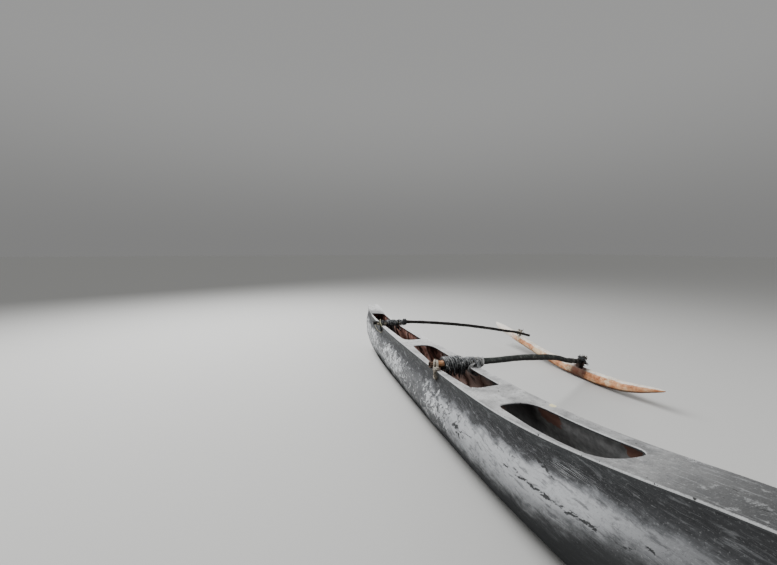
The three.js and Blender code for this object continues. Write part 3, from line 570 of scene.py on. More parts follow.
def hull_finish():
    """Glass-reinforced gelcoat, moulded and left outdoors: chalked pale in patches on the belly that rain
    and sun reach, with a painted highlight on the belly's upward-facing band, painted shade in the hollow
    under the rim and low down, scuffed along."""
    made, tree = new_material("weathered_gelcoat", 0.5)
    skin = add(tree, "ShaderNodeUVMap", uv_map="skin")["UV"]
    along, girth, _ = add(tree, "ShaderNodeSeparateXYZ", {"Vector": skin})
    down = add(tree, "ShaderNodeMath", {0: girth}, operation="ABSOLUTE")[0]
    side = add(tree, "ShaderNodeMath", {0: girth}, operation="SIGN")[0]
    sheet = add(tree, "ShaderNodeCombineXYZ", {"X": along, "Y": down, "Z": side})[0]
    flow = shaken(tree, sheet, sheet, 330, 0.1, 3.0, 0.5)
    # Bands from the deck's edge down to the keel: painted shade under the rim and a painted highlight on the
    # belly, with a brushed edge between dark and pale.
    brushed = pattern(tree, flow, (-9, 190, 40), 8.0, 0.6)
    depth = total(tree, down, (brushed, 0.1), (pattern(tree, sheet, 120, 8.0, 0.66), 0.13))
    colour = add(tree, "ShaderNodeValToRGB", {"Fac": depth}, stops=SHADE_AND_HIGHLIGHT_BANDS)[0]
    # Peeled and chalked patches, strongest towards the far end.
    peel = pattern(tree, sheet, 75, 9.0, 0.72, 0.6)
    chalk = total(tree, peel, (along, 0.2, -0.6, 0.25), (down, 0.18, 0.075, 0.2),
                  (ovals(tree, skin, CHALKY), 0.12))
    worn = total(tree, pattern(tree, sheet, 48, 9.0, 0.74, 0.8), (along, 0.13, -0.6, 0.25),
                 *((ovals(tree, skin, row), 0.13) for row in SCOURED))
    # The painted shade on the belly's lower side starts higher up near the near stem, and hardly at the far
    # one.
    for start, end, shift in ((-1.0, -1.75, 0.14), (2.05, 2.45, -0.13)):
        depth = total(tree, depth, (along, total(tree, 0.0, (down, shift, 0.14, 0.26)), start, end))
    smear = pattern(tree, flow, (-12, 90, 24), 9.0, 0.6)
    dark = pattern(tree, flow, (-9, 260, 8), 4.0, 0.6)
    scratches = pattern(tree, sheet, (-7, 240, 2.4), 2.0, 0.6)
    scratches = total(tree, scratches, (ovals(tree, skin, SCRATCHED), 0.22))
    grain = pattern(tree, sheet, 9, 6.0, 0.72)
    # The gouges have ragged edges and are broken up.
    whole = total(tree, 0.08, (pattern(tree, sheet, (10, 55, 22), 5.0, 0.6), 0.92, 0.43, 0.54))
    torn = shaken(tree, skin, sheet, 24, 0.05, 8.0, 0.8)
    cut = total(tree, 0.0, (ovals(tree, torn, *GOUGES), whole))
    # Painted shade low on the hull, where it faces the ground; darker towards the far end.
    low_shade = layers(tree, "3c3d3e", [("202121", along, -0.6, 0.9)])
    colour = layers(tree, colour, [
        ("3f4042", along, -1.1, -1.75, 0.78),
        ("dee0e2", chalk, 0.845, 0.885, 0.88),
        ("3b3c3e", worn, 0.61, 0.66, 0.85),
        # Painted shade low on the belly, darker with depth.
        ("4a4b4c", depth, 0.385, 0.51, 0.93),
        ("333435", depth, 0.5, 0.6, 0.6),
        # Long scuffs that run down towards the near end, dark ones under pale ones.
        ("2b2c2e", smear, 0.52, 0.66, 0.55),
        ("97999c", smear, 0.46, 0.34, 0.35),
        ("4a4c4e", pattern(tree, flow, 60, 9.0, 0.7), 0.54, 0.68, 0.5),
        ("1f2022", dark, 0.58, 0.72, 0.45),
        ("9b9da0", pattern(tree, flow, (-15, 160, 3), 3.0, 0.6), 0.58, 0.7, 0.45),
        ("b9bbbd", scratches, 0.7, 0.77, 0.8),
        # Fine speckle of dirt and chalk.
        ("2d2e2f", grain, 0.55, 0.7, 0.45),
        ("cccecf", grain, 0.44, 0.3, 0.3),
        # Painted shade low down.
        (low_shade, depth, 0.435, 0.55, 0.88),
        ("232425", cut, 0.08, 0.42, 0.92),
    ])
    more = {"Roughness": total(tree, 0.4, (peel, 0.28, 0.3, 0.7)),
            "Specular IOR Level": total(tree, 0.2, (depth, -0.2, 0.38, 0.5))}
    return finished(made, colour, total(tree, grain, (cut, -1.5), (dark, -0.5)), 0.6, 0.0016, more)


def inside_finish():
    """The laminate's bare inside: red-brown paint worn through to dark grey resin, with painted light that
    lifts the walls towards the near end and painted shadow that turns them black under the deck.
    """
    made, tree = new_material("stained_laminate", 0.7)
    place_at = add(tree, "ShaderNodeTexCoord")["Object"]
    _, along, up = add(tree, "ShaderNodeSeparateXYZ", {"Vector": place_at})
    cloud = pattern(tree, place_at, 40, 7.0)
    wall = add(tree, "ShaderNodeCombineXYZ", {"X": along, "Y": up})[0]
    wall = shaken(tree, wall, place_at, 50, 0.1, 7.0, 0.7)
    left = ovals(tree, wall, *PAINT_LEFT)
    damp = total(tree, pattern(tree, place_at, 230, 6.0), (along, 0.14, 0.15, 0.6))
    worn = total(tree, pattern(tree, place_at, 190, 7.0), (along, 0.45, 0.0, -0.15), (left, -0.8))
    resin = layers(tree, "9c9d9e", [("cccdcd", cloud, 0.3, 0.7)])
    colour = layers(tree, "8f6256", [
        ("d6a595", cloud, 0.3, 0.7),
        # Painted light: walls paler from Y 1.2 towards the near end, against the shade under the deck.
        ("b9aba3", along, 1.2, 0.2, 0.7),
        ("1f1815", damp, 0.62, 0.72, 0.85),
        ("b5806f", left, 0.1, 0.4, 0.8),
        (resin, worn, 0.6, 0.66),
        ("9c9c9a", pattern(tree, place_at, 11, 3.0), 0.64, 0.72, 0.5),
        ("1f1b1a", up, 0.26, 0.06, 0.7),
        # Painted shadow where the deck shades the walls black.
        *(("0d0c0c", ovals(tree, wall, row), 0.1, 0.5, 0.85) for row in SHADOWED_WALLS),
    ])
    return finished(made, colour, cloud, 0.5, 0.003)


def deck_finish():
    """The same gelcoat on top: brighter towards the far end with a painted reflection, finely pitted, with a
    painted highlight along every rim, and painted shade on the edges under it."""
    made, tree = new_material("pitted_gelcoat", 0.5)
    place_at = add(tree, "ShaderNodeTexCoord")["Object"]
    across, along, _ = add(tree, "ShaderNodeSeparateXYZ", {"Vector": place_at})
    gap = add(tree, "ShaderNodeAttribute", attribute_name="edge_gap")["Fac"]
    cloud = pattern(tree, place_at, 140, 8.0)
    patch = pattern(tree, place_at, 45, 8.0, 0.75)
    speck = pattern(tree, place_at, 17, 8.0, 0.8)
    grain = pattern(tree, place_at, 6, 7.0, 0.8)
    pits = total(tree, pattern(tree, place_at, 10, 3.0, 0.6), (gap, 0.05, 0.05, 0.008))
    flat = add(tree, "ShaderNodeCombineXYZ", {"X": across, "Y": along})[0]
    colour = layers(tree, "989898", [
        ("cfcfce", cloud, 0.32, 0.68),
        # Painted reflection: brighter towards the far end. Then darker towards the near end.
        ("e9e9e8", along, 0.6, 1.2, 0.5),
        ("5b5c5d", along, -0.2, -1.6, 0.7),
        ("333435", along, -1.34, -1.74, 0.76),
        ("c6c8ca", pattern(tree, place_at, (86, 150, 14), 7.0, 0.6), 0.56, 0.72, 0.4),
        ("4a4c4f", pattern(tree, place_at, (95, 120, 9), 7.0, 0.6), 0.58, 0.72, 0.5),
        ("595b5e", patch, 0.53, 0.66, 0.6),
        ("d4d6d7", patch, 0.44, 0.33, 0.5),
        ("55575a", speck, 0.55, 0.68, 0.55),
        ("dcdddd", speck, 0.44, 0.32, 0.45),
        ("3f4143", grain, 0.54, 0.68, 0.6),
        ("dcdede", grain, 0.44, 0.32, 0.45),
        ("2b2c2d", along, -1.36, -1.62, 0.22),
        # Painted highlight along every rim and cockpit edge.
        ("d3d5d6", total(tree, gap, (grain, 0.005), (patch, 0.006)), 0.0096, 0.0056, 0.85),
        ("2c2c2c", pits, 0.69, 0.73),
        ("262727", total(tree, grain, (ovals(tree, flat, *DECK_MARKS), 0.6)), 0.72, 0.86),
        ("ece3b4", ovals(tree, flat, PALE_CHIP), 0.1, 0.3, 0.9),
        ("67686a", ovals(tree, flat, FAR_SHADE), 0.1, 0.6, 0.72),
        # Painted shade on the deck's cut edges and underside.
        ("37393b", gap, 0.0, -0.002),
    ])
    return finished(made, colour, total(tree, cloud, (pits, -1.0), (grain, -0.5)), 0.6, 0.002)


def timber_finish(name, dark, mid, light):
    """Sawn or split timber with its grain along Y, stained and dry."""
    made, tree = new_material(name, 0.75)
    grain = pattern(tree, add(tree, "ShaderNodeTexCoord")["Object"], (0, 5, 120, 5), 5.0, 0.5)
    stops = ((0.3, dark), (0.5, mid), (0.7, light))
    colour = add(tree, "ShaderNodeValToRGB", {"Fac": grain}, stops=stops)[0]
    return finished(made, colour, grain, 0.5, 0.0015)


def bark_finish(name, dark, mid, light):
    """A round pole in its weathered bark: fine checks along it, lighter where it is rubbed."""
    made, tree = new_material(name, 0.7, level=0.2)
    cloud = pattern(tree, add(tree, "ShaderNodeTexCoord")["Object"], 55, 7.0)
    checks = pattern(tree, add(tree, "ShaderNodeUVMap", uv_map="skin")["UV"], (0, 70, 3.5), 4.0, 0.6)
    stops = ((0.32, dark), (0.5, mid), (0.68, light))
    colour = add(tree, "ShaderNodeValToRGB", {"Fac": cloud}, stops=stops)[0]
    colour = layers(tree, colour, [(dark, checks, 0.56, 0.66, 0.7)])
    return finished(made, colour, total(tree, cloud, (checks, -0.8)), 0.7, 0.002)


NEAR_LINE, _ = pole_line("boom_near")
NEAR_BOOM_LENGTH = float(run_along(NEAR_LINE)[-1])
# Colours along the near boom, by share of its length.
NEAR_BOOM_BANDS = ((0.0, "7d6352"), (0.02, "6a5243"), (0.028, "8a5f41"), (0.036, "c98f64"), (0.062, "d09a6d"),
                   (0.075, "5a4436"), (0.1, "3a3b3a"), (0.2, "3c403e"), (0.6, "303432"), (0.8, "222423"),
                   (0.9, "221f1d"), (1.0, "1f1814"))


def near_boom_finish():
    """The near boom from its port end: gnarled brown wood round a rotten eye, a peeled orange
    length, then the grey-green bark of the long arch, and dark wet wood past the knee."""
    made, tree = new_material("near_boom_wood", 0.75, level=0.2)
    skin = add(tree, "ShaderNodeUVMap", uv_map="skin")["UV"]
    place_at = add(tree, "ShaderNodeTexCoord")["Object"]
    along = add(tree, "ShaderNodeSeparateXYZ", {"Vector": skin})["X"]
    cloud = pattern(tree, place_at, 45, 8.0, 0.68)
    checks = pattern(tree, skin, (0, 90, 4), 4.0, 0.6)
    share = total(tree, 0.0, (total(tree, along, (cloud, 0.04)), 1 / NEAR_BOOM_LENGTH))
    from_end = add(tree, "ShaderNodeVectorMath", {0: place_at, 1: tuple(NEAR_LINE[0])},
                   operation="DISTANCE")["Value"]
    colour = add(tree, "ShaderNodeValToRGB", {"Fac": share}, stops=NEAR_BOOM_BANDS)[0]
    colour = layers(tree, colour, [
        ("9a9b94", cloud, 0.5, 0.68, 0.45),
        ("231f1c", cloud, 0.46, 0.32, 0.5),
        ("1b1b1b", checks, 0.55, 0.66, 0.6),
        # Painted shade: darker where the surface faces down.
        ("080807", facing_up(tree), 0.55, -0.35, 0.9),
        ("0c0907", from_end, 0.024, 0.018),
    ])
    return finished(made, colour, total(tree, cloud, (checks, -0.8)), 0.8, 0.0025)


LOG_SIDE = ((0.3, "a4623f"), (0.45, "cf8f66"), (0.55, "dda77c"), (0.7, "ecc79d"))
LOG_TOP = ((0.3, "cfc4b4"), (0.5, "efe8db"), (0.68, "f6f1e8"))
NEAR_CROSSING = float(np.mean(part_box("chock_near"), axis=0)[1])


def float_finish():
    """A peeled softwood log: bleached cream on top with a painted highlight there, salmon-brown and damp on
    its sides with painted shade underneath, with drying checks along it and a few across."""
    made, tree = new_material("bleached_log", 0.65, level=0.2)
    skin = add(tree, "ShaderNodeUVMap", uv_map="skin")["UV"]
    place_at = add(tree, "ShaderNodeTexCoord")["Object"]
    along = add(tree, "ShaderNodeSeparateXYZ", {"Vector": place_at})["Y"]
    facing = facing_up(tree)
    cloud = pattern(tree, place_at, 60, 7.0)
    fibre = pattern(tree, skin, (0, 160, 5), 4.0, 0.6)
    checks = pattern(tree, skin, (0, 240, 3.5), 4.0, 0.6)
    lower, upper = (add(tree, "ShaderNodeValToRGB", {"Fac": cloud}, stops=stops)[0]
                    for stops in (LOG_SIDE, LOG_TOP))
    wet = total(tree, -NEAR_CROSSING, (along, 1.0))
    wet = add(tree, "ShaderNodeMath", {0: wet}, operation="ABSOLUTE")[0]
    colour = layers(tree, lower, [
        ("f0dcb9", pattern(tree, place_at, 150, 5.0), 0.51, 0.58, 0.8),
        # Cream where the surface faces up: the bleached top, with a painted highlight.
        (upper, total(tree, facing, (fibre, 0.45)), 0.88, 1.0),
        ("7b4a30", fibre, 0.53, 0.66, 0.45),
        ("35251c", checks, 0.6, 0.65),
        ("30221b", pattern(tree, skin, (90, 60, 7), 4.0, 0.6), 0.68, 0.72, 0.9),
        # Painted shade: darker where the surface faces down.
        ("42291a", facing, -0.25, -0.75, 0.85),
        # Bleached white past the far boom, dark and wet where the near boom stands on it.
        ("efeae1", total(tree, along, (fibre, 0.5)), 2.1, 2.25, 0.85),
        ("45241a", total(tree, wet, (cloud, 0.16)), 0.25, 0.15, 0.92),
    ])
    return finished(made, colour, total(tree, fibre, (checks, -1.0)), 0.6, 0.002)


def fibre_finish(name, dark, mid, light, fibre_mm=2.5):
    """Laid rope or rag of dry fibre: matt, with fine hairs, dirt in its hollows, and undersides darker with
    dirt and painted shade.
    """
    made, tree = new_material(name, 0.9, 1.45, sheen=0.15)
    place_at = add(tree, "ShaderNodeTexCoord")["Object"]
    hairs = pattern(tree, place_at, fibre_mm, 3.0)
    mixed = total(tree, 0.0, (pattern(tree, place_at, 30, 4.0), 0.7), (hairs, 0.3))
    stops = ((0.36, dark), (0.5, mid), (0.64, light))
    colour = add(tree, "ShaderNodeValToRGB", {"Fac": mixed}, stops=stops)[0]
    # Darker where the surface faces down: dirt and painted shade.
    colour = layers(tree, colour, [(dark, facing_up(tree), 0.35, -0.5, 0.75)])
    return finished(made, colour, hairs, 0.6, 0.0008)


GELCOAT = hull_finish()
LAMINATE = inside_finish()
DECK_GELCOAT = deck_finish()
RIB_TIMBER = timber_finish("stained_rib_timber", "7d655c", "a3857b", "c7aaa0")
NEAR_BOOM_WOOD = near_boom_finish()
FAR_BOOM_WOOD = bark_finish("far_boom_bark", "0f0e0d", "1e1c1a", "393633")
NEAR_BAR_WOOD = bark_finish("near_bar_wood", "33251c", "5c4230", "86633f")
FAR_BAR_WOOD = bark_finish("far_bar_wood", "4a463c", "746d5f", "aaa18f")
CHOCK_WOOD = bark_finish("wet_chock_wood", "120e0c", "271c16", "3e2d22")
PEG_WOOD = bark_finish("wet_peg_wood", "17120f", "2f241d", "54402f")
FLOAT_WOOD = float_finish()
PALE_ROPE = fibre_finish("pale_sisal_rope", "4a4238", "b5ab9b", "e2dccf")
GREY_ROPE = fibre_finish("grey_weathered_rope", "2b2d2f", "8b8d8f", "c9cbcb")
DARK_ROPE = fibre_finish("dark_tarred_rope", "131416", "2b2d30", "4d5053")
YELLOW_ROPE = fibre_finish("yellow_synthetic_rope", "a09872", "ddd7b6", "f6f2dc")
GREY_RAG = fibre_finish("grey_rag_strip", "0f1012", "222427", "54575a", 1.2)
FRAYED_ROPE = fibre_finish("frayed_rope_ends", "5d5e5e", "c9cac9", "f3f3f1")
OLIVE_RAG = fibre_finish("olive_rag_strip", "1f1c15", "48432f", "76705a", 1.2)
BROWN_RAG = fibre_finish("brown_rag_strip", "1c1512", "35271f", "57463a", 1.2)


# Cord: the loose end of the far port lashing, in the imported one's place

TAIL = [
    (-0.205, 1.94, 0.543), (-0.2025, 1.9375, 0.533), (-0.2, 1.9345, 0.523), (-0.197, 1.931, 0.514),
    (-0.1935, 1.9275, 0.5055), (-0.1895, 1.924, 0.4975), (-0.185, 1.92, 0.49), (-0.1805, 1.9155, 0.483),
    (-0.1755, 1.911, 0.4765), (-0.17, 1.906, 0.4705), (-0.164, 1.901, 0.465), (-0.1575, 1.8955, 0.4605),
    (-0.151, 1.89, 0.456), (-0.144, 1.884, 0.4525), (-0.1365, 1.878, 0.449),
]
TAIL_RADIUS = 0.004


def make_tail():
    tail = rope("rope_tail_strands", [resample(TAIL, 60)[0]], TAIL_RADIUS, YELLOW_ROPE, 0.024, 0.003)
    place(tail, "rope", "rope_tail")


make_tail()


# Lashings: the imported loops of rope, which other pieces make room for

def loop_of(name, count=90):
    """The middle line of a packed loop of rope, and the direction it faces."""
    points = vertices_of(name)
    middle = points.mean(axis=0)
    axes = np.linalg.svd(points - middle)[2]
    tree = tree_of(name)
    line = []
    for turn in CIRCLE * np.arange(count) / count:
        way = Vector(math.cos(turn) * axes[0] + math.sin(turn) * axes[1])
        inner = tree.ray_cast(Vector(middle), way)[0]
        outer = tree.ray_cast(inner + way * 0.0005, way)[0] if inner else None
        if outer:
            line.append((inner + outer) / 2)
    return np.array(line), axes[2]


# Hull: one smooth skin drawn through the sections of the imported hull

SIDE_POINTS = 48  # from the deck's edge down to the keel
STATION_STEP = 0.023
STATION_VERTICES = 60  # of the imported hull: a section has more
STATIONS_APART = 0.05  # at least
ROUND = 0.004  # of the edge at each tip
DRAWN_IN = 0.7  # of that: the outline of the tip's face
STEM_TOP, STEM_SPREAD = 0.3, 0.3  # of a tip's face on the map: its top, and its depth as a share
HOLLOW_DEPTH = 0.014  # of the far stem's hollow neck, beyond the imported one's
HOLLOW_MIDDLE, HOLLOW_REACH = np.array(((2.56, 0.49), (0.11, 0.035)))  # both in Y and Z
DENTS = ((0.0022, 0.35, 0.0), (0.0009, 0.11, 7.0))  # height, size and seed
CALM = 0.1  # of the length at each tip, where the dents fade out
SLOT_ROOM = (0.05, 0.034, 0.017)  # round a rope in all
SLOT_REACH = 0.004  # over the lowest point of a rope's middle line
DECK_LASHINGS = ("lashing_near_port", "lashing_near_starboard", "lashing_far_port", "lashing_far_starboard")
JUST_INSIDE = 0.9999  # of a station's Y: rays run clear of the faces' joints there


def half_section(y, points, tree):
    """The port side of the hull's outside at a station, from the lip to the keel, as x and z."""
    here = points[(np.abs(points[:, 1] - y) < 2e-5) & (points[:, 0] < 1e-5)]
    top = here[:, 2].max()
    lip = here[here[:, 2] > top - 1e-4]
    centre = np.array([0, JUST_INSIDE * y, (top + here[:, 2].min()) / 2])
    outer = [lip[np.argmin(lip[:, 0])]]
    for p in here[here[:, 2] < top - 1e-4]:
        away = Vector(p * (1, JUST_INSIDE, 1) - centre).normalized()
        hit = tree.ray_cast(Vector(centre) + away, -away)[0]
        if hit is not None and (hit - Vector(p)).length < 1e-3:
            outer.append(p)
    outer = np.unique(np.round(outer, 5), axis=0)
    angle = np.arctan2(outer[:, 2] - centre[2], -outer[:, 0])
    line = outer[np.argsort(-angle)][:, [0, 2]]
    if line[-1, 0] < -1e-4:
        line = np.vstack([line, [0, line[-1, 1]]])
    return resample(line, SIDE_POINTS + 1)


def hull_table():
    """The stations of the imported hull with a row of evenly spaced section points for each."""
    points = vertices_of(*HULL_NODES)
    tree = tree_of(*HULL_NODES)
    ys, counts = np.unique(np.round(points[:, 1], 5), return_counts=True)
    stations = [ys[0], ys[-1]]
    for y in sorted(ys[counts > STATION_VERTICES], key=abs):
        if min(abs(y - taken) for taken in stations) > STATIONS_APART:
            stations.append(y)
    stations.sort()
    rows = [half_section(y, points, tree) for y in stations]
    return np.array(stations), np.array([r[0].ravel() for r in rows]), np.array([r[1] for r in rows])


STATIONS, SECTIONS, GIRTHS = hull_table()
HALF = STATIONS[-1]


def deck_edge(ys):
    """Half width and top of the deck at each y."""
    lip = curve_through(STATIONS, SECTIONS[:, :2], np.asarray(ys, float))
    return -lip[:, 0] + 0.001, lip[:, 1] + DECK + SEAM


def cut_slots(obj):
    """Opens the holes in the hull's sides that the deck's lashings pass through."""
    cutters = bmesh.new()
    for name in DECK_LASHINGS:
        line, _ = loop_of(name)
        low = line[line[:, 2] < line[:, 2].min() + SLOT_REACH]
        size = np.ptp(low, axis=0) + SLOT_ROOM
        for corner in bmesh.ops.create_cube(cutters, size=1.0)["verts"]:
            corner.co = centre_of(low) + size * corner.co
    mesh = bpy.data.meshes.new("slots")
    cutters.to_mesh(mesh)
    cutters.free()
    mesh.materials.append(LAMINATE)
    tool = shown("slots", mesh)
    cut = obj.modifiers.new("slots", "BOOLEAN")
    cut.operation = "DIFFERENCE"
    cut.object = tool
    settle(obj)
    bpy.data.objects.remove(tool)
    obj.data.set_sharp_from_angle(angle=math.radians(SHARP))


def make_hull():
    ys = np.linspace(-HALF + ROUND, HALF - ROUND, int(2 * HALF / STATION_STEP))
    ys = np.concatenate([[-HALF], ys, [HALF]])
    rows = curve_through(STATIONS, SECTIONS, ys).reshape(len(ys), -1, 2)
    girth = curve_through(STATIONS, GIRTHS, ys)[:, 0]
    for end in (0, -1):
        middle = rows[end].mean(axis=0)
        inwards = np.array([0, middle[1]]) - rows[end]
        rows[end] += inwards * (DRAWN_IN * ROUND / np.ptp(rows[end], axis=0))
    count = 2 * SIDE_POINTS + 1
    vertices, faces, spots = [], [], []
    for y, row in zip(ys, rows):
        ring = np.vstack([row, (row * (-1, 1))[-2::-1]])
        vertices += [(x, y, z) for x, z in ring]
    for r in range(len(ys) - 1):
        for k in range(count - 1):
            a, b = r * count + k, r * count + k + 1
            faces.append((a, a + count, b + count, b))
            side = 1 if k < SIDE_POINTS else -1
            corners = ((r, k), (r + 1, k), (r + 1, k + 1), (r, k + 1))
            spots.append([(ys[i], side * min(s, count - 1 - s) / SIDE_POINTS * girth[i]) for i, s in corners])
    for r, way in ((0, 1), (len(ys) - 1, -1)):
        face = [r * count + k for k in range(count)][::way]
        faces.append(face)
        top = vertices[face[0]][2]
        spots.append([(ys[r] + vertices[i][0], STEM_TOP + STEM_SPREAD * (top - vertices[i][2]))
                      for i in face])
    obj = mesh_object("hull_skin", vertices, faces, [GELCOAT, LAMINATE], spots=spots)
    normals = np.array([v.normal for v in obj.data.vertices])
    points = np.array([v.co for v in obj.data.vertices])
    dent = sum(height * bump_field(points, size, seed) for height, size, seed in DENTS)
    dent -= HOLLOW_DEPTH * np.exp(-(((points[:, 1:] - HOLLOW_MIDDLE) / HOLLOW_REACH) ** 2).sum(axis=1))
    calm = np.clip((HALF - np.abs(points[:, 1])) / CALM, 0, 1)
    points += normals * (dent * calm)[:, None]
    obj.data.vertices.foreach_set("co", points.astype(np.float32).ravel())
    thick = obj.modifiers.new("wall", "SOLIDIFY")
    thick.thickness = WALL
    thick.offset = -1
    thick.use_even_offset = True
    thick.material_offset = 1
    settle(obj)
    cut_slots(obj)
    place(obj, "hull", *HULL_NODES)


make_hull()


# Deck: one sheet with the three cockpits, its rims and lips rounded

COCKPIT_MIDDLES = ((-0.02, -0.9), (-0.012, 0.38), (0.0, 1.82))
COCKPIT_REACH = np.array((0.2, 0.75))  # half width and half length that hold any cockpit
COCKPIT_POINTS = 240
HALVINGS = 14  # of the range in which an edge is looked for
RIM_STEPS = (0.0, 0.0015, 0.004, 0.009)
DECK_GRID = 0.016
GRID_GAP = 0.014  # between the grid's points and any edge
GRID_REACH = 0.21  # half width that holds the deck
GRID_WOBBLE = 0.004
GRID_BUMPS = (0.013, 0.017)  # their size in X and in Y
OUTLINE_POINTS = 221  # on each side
DROP = 0.0045  # of an edge's foot under the deck's height
# A rounded edge, the low bead along it and the width of both, at the rim and round a cockpit.
RIM_LIP = (0.005, 0.0045, 0.013)
MOUTH_LIP = (0.005, 0.0015, 0.014)
SWAY, SWAY_SIZE, SWAY_CALM = 0.0012, 0.22, 0.03  # height and size of bumps, and where they fade


def cockpit_loop(middle, tree):
    """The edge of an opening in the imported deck, found by probing outwards from its middle."""
    loop = []
    for turn in CIRCLE * np.arange(COCKPIT_POINTS) / COCKPIT_POINTS:
        way = COCKPIT_REACH * (math.cos(turn), math.sin(turn))
        low, high = 0.0, 1.0
        for _ in range(HALVINGS):
            share = (low + high) / 2
            hit = tree.ray_cast(Vector((*(middle + way * share), 2)), Vector((0, 0, -1)))[0]
            low, high = (low, share) if hit is not None else (share, high)
        loop.append(middle + way * low)
    return np.array(loop)


def moved_out(loop, distance):
    """A loop that runs anticlockwise, moved outwards."""
    along = np.roll(loop, -1, axis=0) - np.roll(loop, 1, axis=0)
    return loop + distance * unit(np.stack([along[:, 1], -along[:, 0]], axis=1))


def lip_height(gap, edge, crown, width):
    """Height over the deck at a distance from a rounded edge that has a low bead along it."""
    rise = np.sqrt(np.clip(1 - (1 - np.clip(gap / edge, 0, 1)) ** 2, 0, 1))
    fall = np.clip((gap - edge) / (width - edge), 0, 1)
    return -DROP + (DROP + crown) * rise - crown * fall * fall * (3 - 2 * fall)


def make_deck():
    tree = tree_of(*DECK_NODES)
    ys = np.linspace(-HALF, HALF, OUTLINE_POINTS)
    wide, _ = deck_edge(ys)
    outline = np.vstack([np.stack([wide, ys], 1), np.stack([-wide, ys], 1)[::-1]])
    cockpits = [cockpit_loop(middle, tree) for middle in COCKPIT_MIDDLES]
    loops = [moved_out(outline, -step) for step in RIM_STEPS]
    loops += [moved_out(loop, step) for loop in cockpits for step in RIM_STEPS]
    xs = np.arange(-GRID_REACH, GRID_REACH, DECK_GRID)
    grid = np.array([(x, y) for y in np.arange(-HALF, HALF, DECK_GRID) for x in xs])
    wobble = [bump_field(np.c_[grid, grid[:, axis]], size) for axis, size in enumerate(GRID_BUMPS)]
    grid = grid + GRID_WOBBLE * np.stack(wobble, 1)
    keep = inside_loop(grid, outline) & (gap_to_loop(grid, outline) > GRID_GAP)
    for loop in cockpits:
        keep &= ~inside_loop(grid, loop) & (gap_to_loop(grid, loop) > GRID_GAP)
    points, edges = [], []
    for loop in loops:
        start = len(points)
        points += [tuple(p) for p in loop]
        edges += [(start + i, start + (i + 1) % len(loop)) for i in range(len(loop))]
    points += [tuple(p) for p in grid[keep]]
    found = geometry.delaunay_2d_cdt([Vector(p) for p in points], edges, [], 0, 1e-6)
    flat = np.array([tuple(v) for v in found[0]])
    faces = np.array(found[2])
    middles = flat[faces].mean(axis=1)
    good = inside_loop(middles, outline)
    for loop in cockpits:
        good &= ~inside_loop(middles, loop)
    used, faces = np.unique(faces[good], return_inverse=True)
    flat, faces = flat[used], faces.reshape(-1, 3)
    _, tops = deck_edge(flat[:, 1])
    rim = gap_to_loop(flat, outline)
    mouth = np.min([gap_to_loop(flat, loop) for loop in cockpits], axis=0)
    gap = np.minimum(rim, mouth)
    sway = SWAY * bump_field(np.c_[flat, tops], SWAY_SIZE) * np.clip(gap / SWAY_CALM, 0, 1)
    upper = np.c_[flat, tops + lip_height(rim, *RIM_LIP) + lip_height(mouth, *MOUTH_LIP) + sway]
    lower = np.c_[flat, tops - DECK]
    count = len(flat)
    sides = dict.fromkeys((a, b) for face in faces for a, b in zip(face, np.roll(face, -1)))
    walls = [(b, a, a + count, b + count) for a, b in sides if (b, a) not in sides]
    faces = [*faces, *(f[::-1] + count for f in faces), *walls]
    obj = mesh_object("deck_skin", np.vstack([upper, lower]), faces, [DECK_GELCOAT])
    attribute = obj.data.attributes.new("edge_gap", "FLOAT", "POINT")
    attribute.data.foreach_set("value", np.concatenate([gap, gap - DECK]).astype(np.float32))
    place(obj, "deck", *DECK_NODES)


make_deck()

for rib in named("rib_"):
    recolour(rib, RIB_TIMBER)


# Booms, the bars beside them, and the pegs

# Shares of the near boom's length: where the gnarled end and the stub on it stop, and where the
# knee starts and is rough in full.
GNARLED, STUB, KNEE, ROUGH_KNEE = 0.09, 0.028, 0.8, 0.85
# Lumps along and round it, their height and seed: where it is gnarled, all over, and on the stub.
BOOM_LUMPS = ((0.05, 0.8, 0.007, 3.0), (0.16, 1.1, 0.0022, 9.0), (0.03, 0.5, 0.008, 4.0))


def near_boom_relief(run, turn):
    """Gnarled at the port end, smooth over the arch, rough again at the knee."""
    share = run / NEAR_BOOM_LENGTH
    gnarl = np.clip(1 - share / GNARLED, 0, 1) + np.clip((share - KNEE) / (ROUGH_KNEE - KNEE), 0, 1)
    stub = np.clip(1.3 - share / STUB, 0, 1)
    return sum(noisy(*row)(run, turn) * much for row, much in zip(BOOM_LUMPS, (gnarl, 1, stub)))


POLES = [
    # piece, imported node, slot, material, relief, port end, sides
    ("near_boom", "boom_near", "pole", NEAR_BOOM_WOOD, near_boom_relief, HOLLOW, 32),
    ("far_boom", "boom_far", "pole", FAR_BOOM_WOOD, noisy(0.1, 0.9, 0.002, 5.0), SAWN, 28),
    ("near_bar", "bar_near", "bar", NEAR_BAR_WOOD, noisy(0.06, 0.7, 0.0022, 1.0), SAWN, 24),
    ("far_bar", "bar_far", "bar", FAR_BAR_WOOD, noisy(0.06, 0.7, 0.0016, 2.0), SAWN, 24),
]
for piece, node, slot, wood, relief, start, sides in POLES:
    place(pole(piece, *pole_line(node), wood, relief, start=start, sides=sides), slot, node)

PEG_TAPER = np.array([0.7, 0.95, 1, 1, 1, 1, 0.96, 0.92])  # from its lower end up


def stick_line(name):
    """The two ends and the radius of a straight packed stick."""
    points = vertices_of(name)
    middle = points.mean(axis=0)
    way = np.linalg.svd(points - middle)[2][0]
    reach = (points - middle) @ way
    off = np.linalg.norm(points - middle - reach[:, None] * way, axis=1)
    return np.linspace(middle + way * reach.min(), middle + way * reach.max(), 8), off.max()


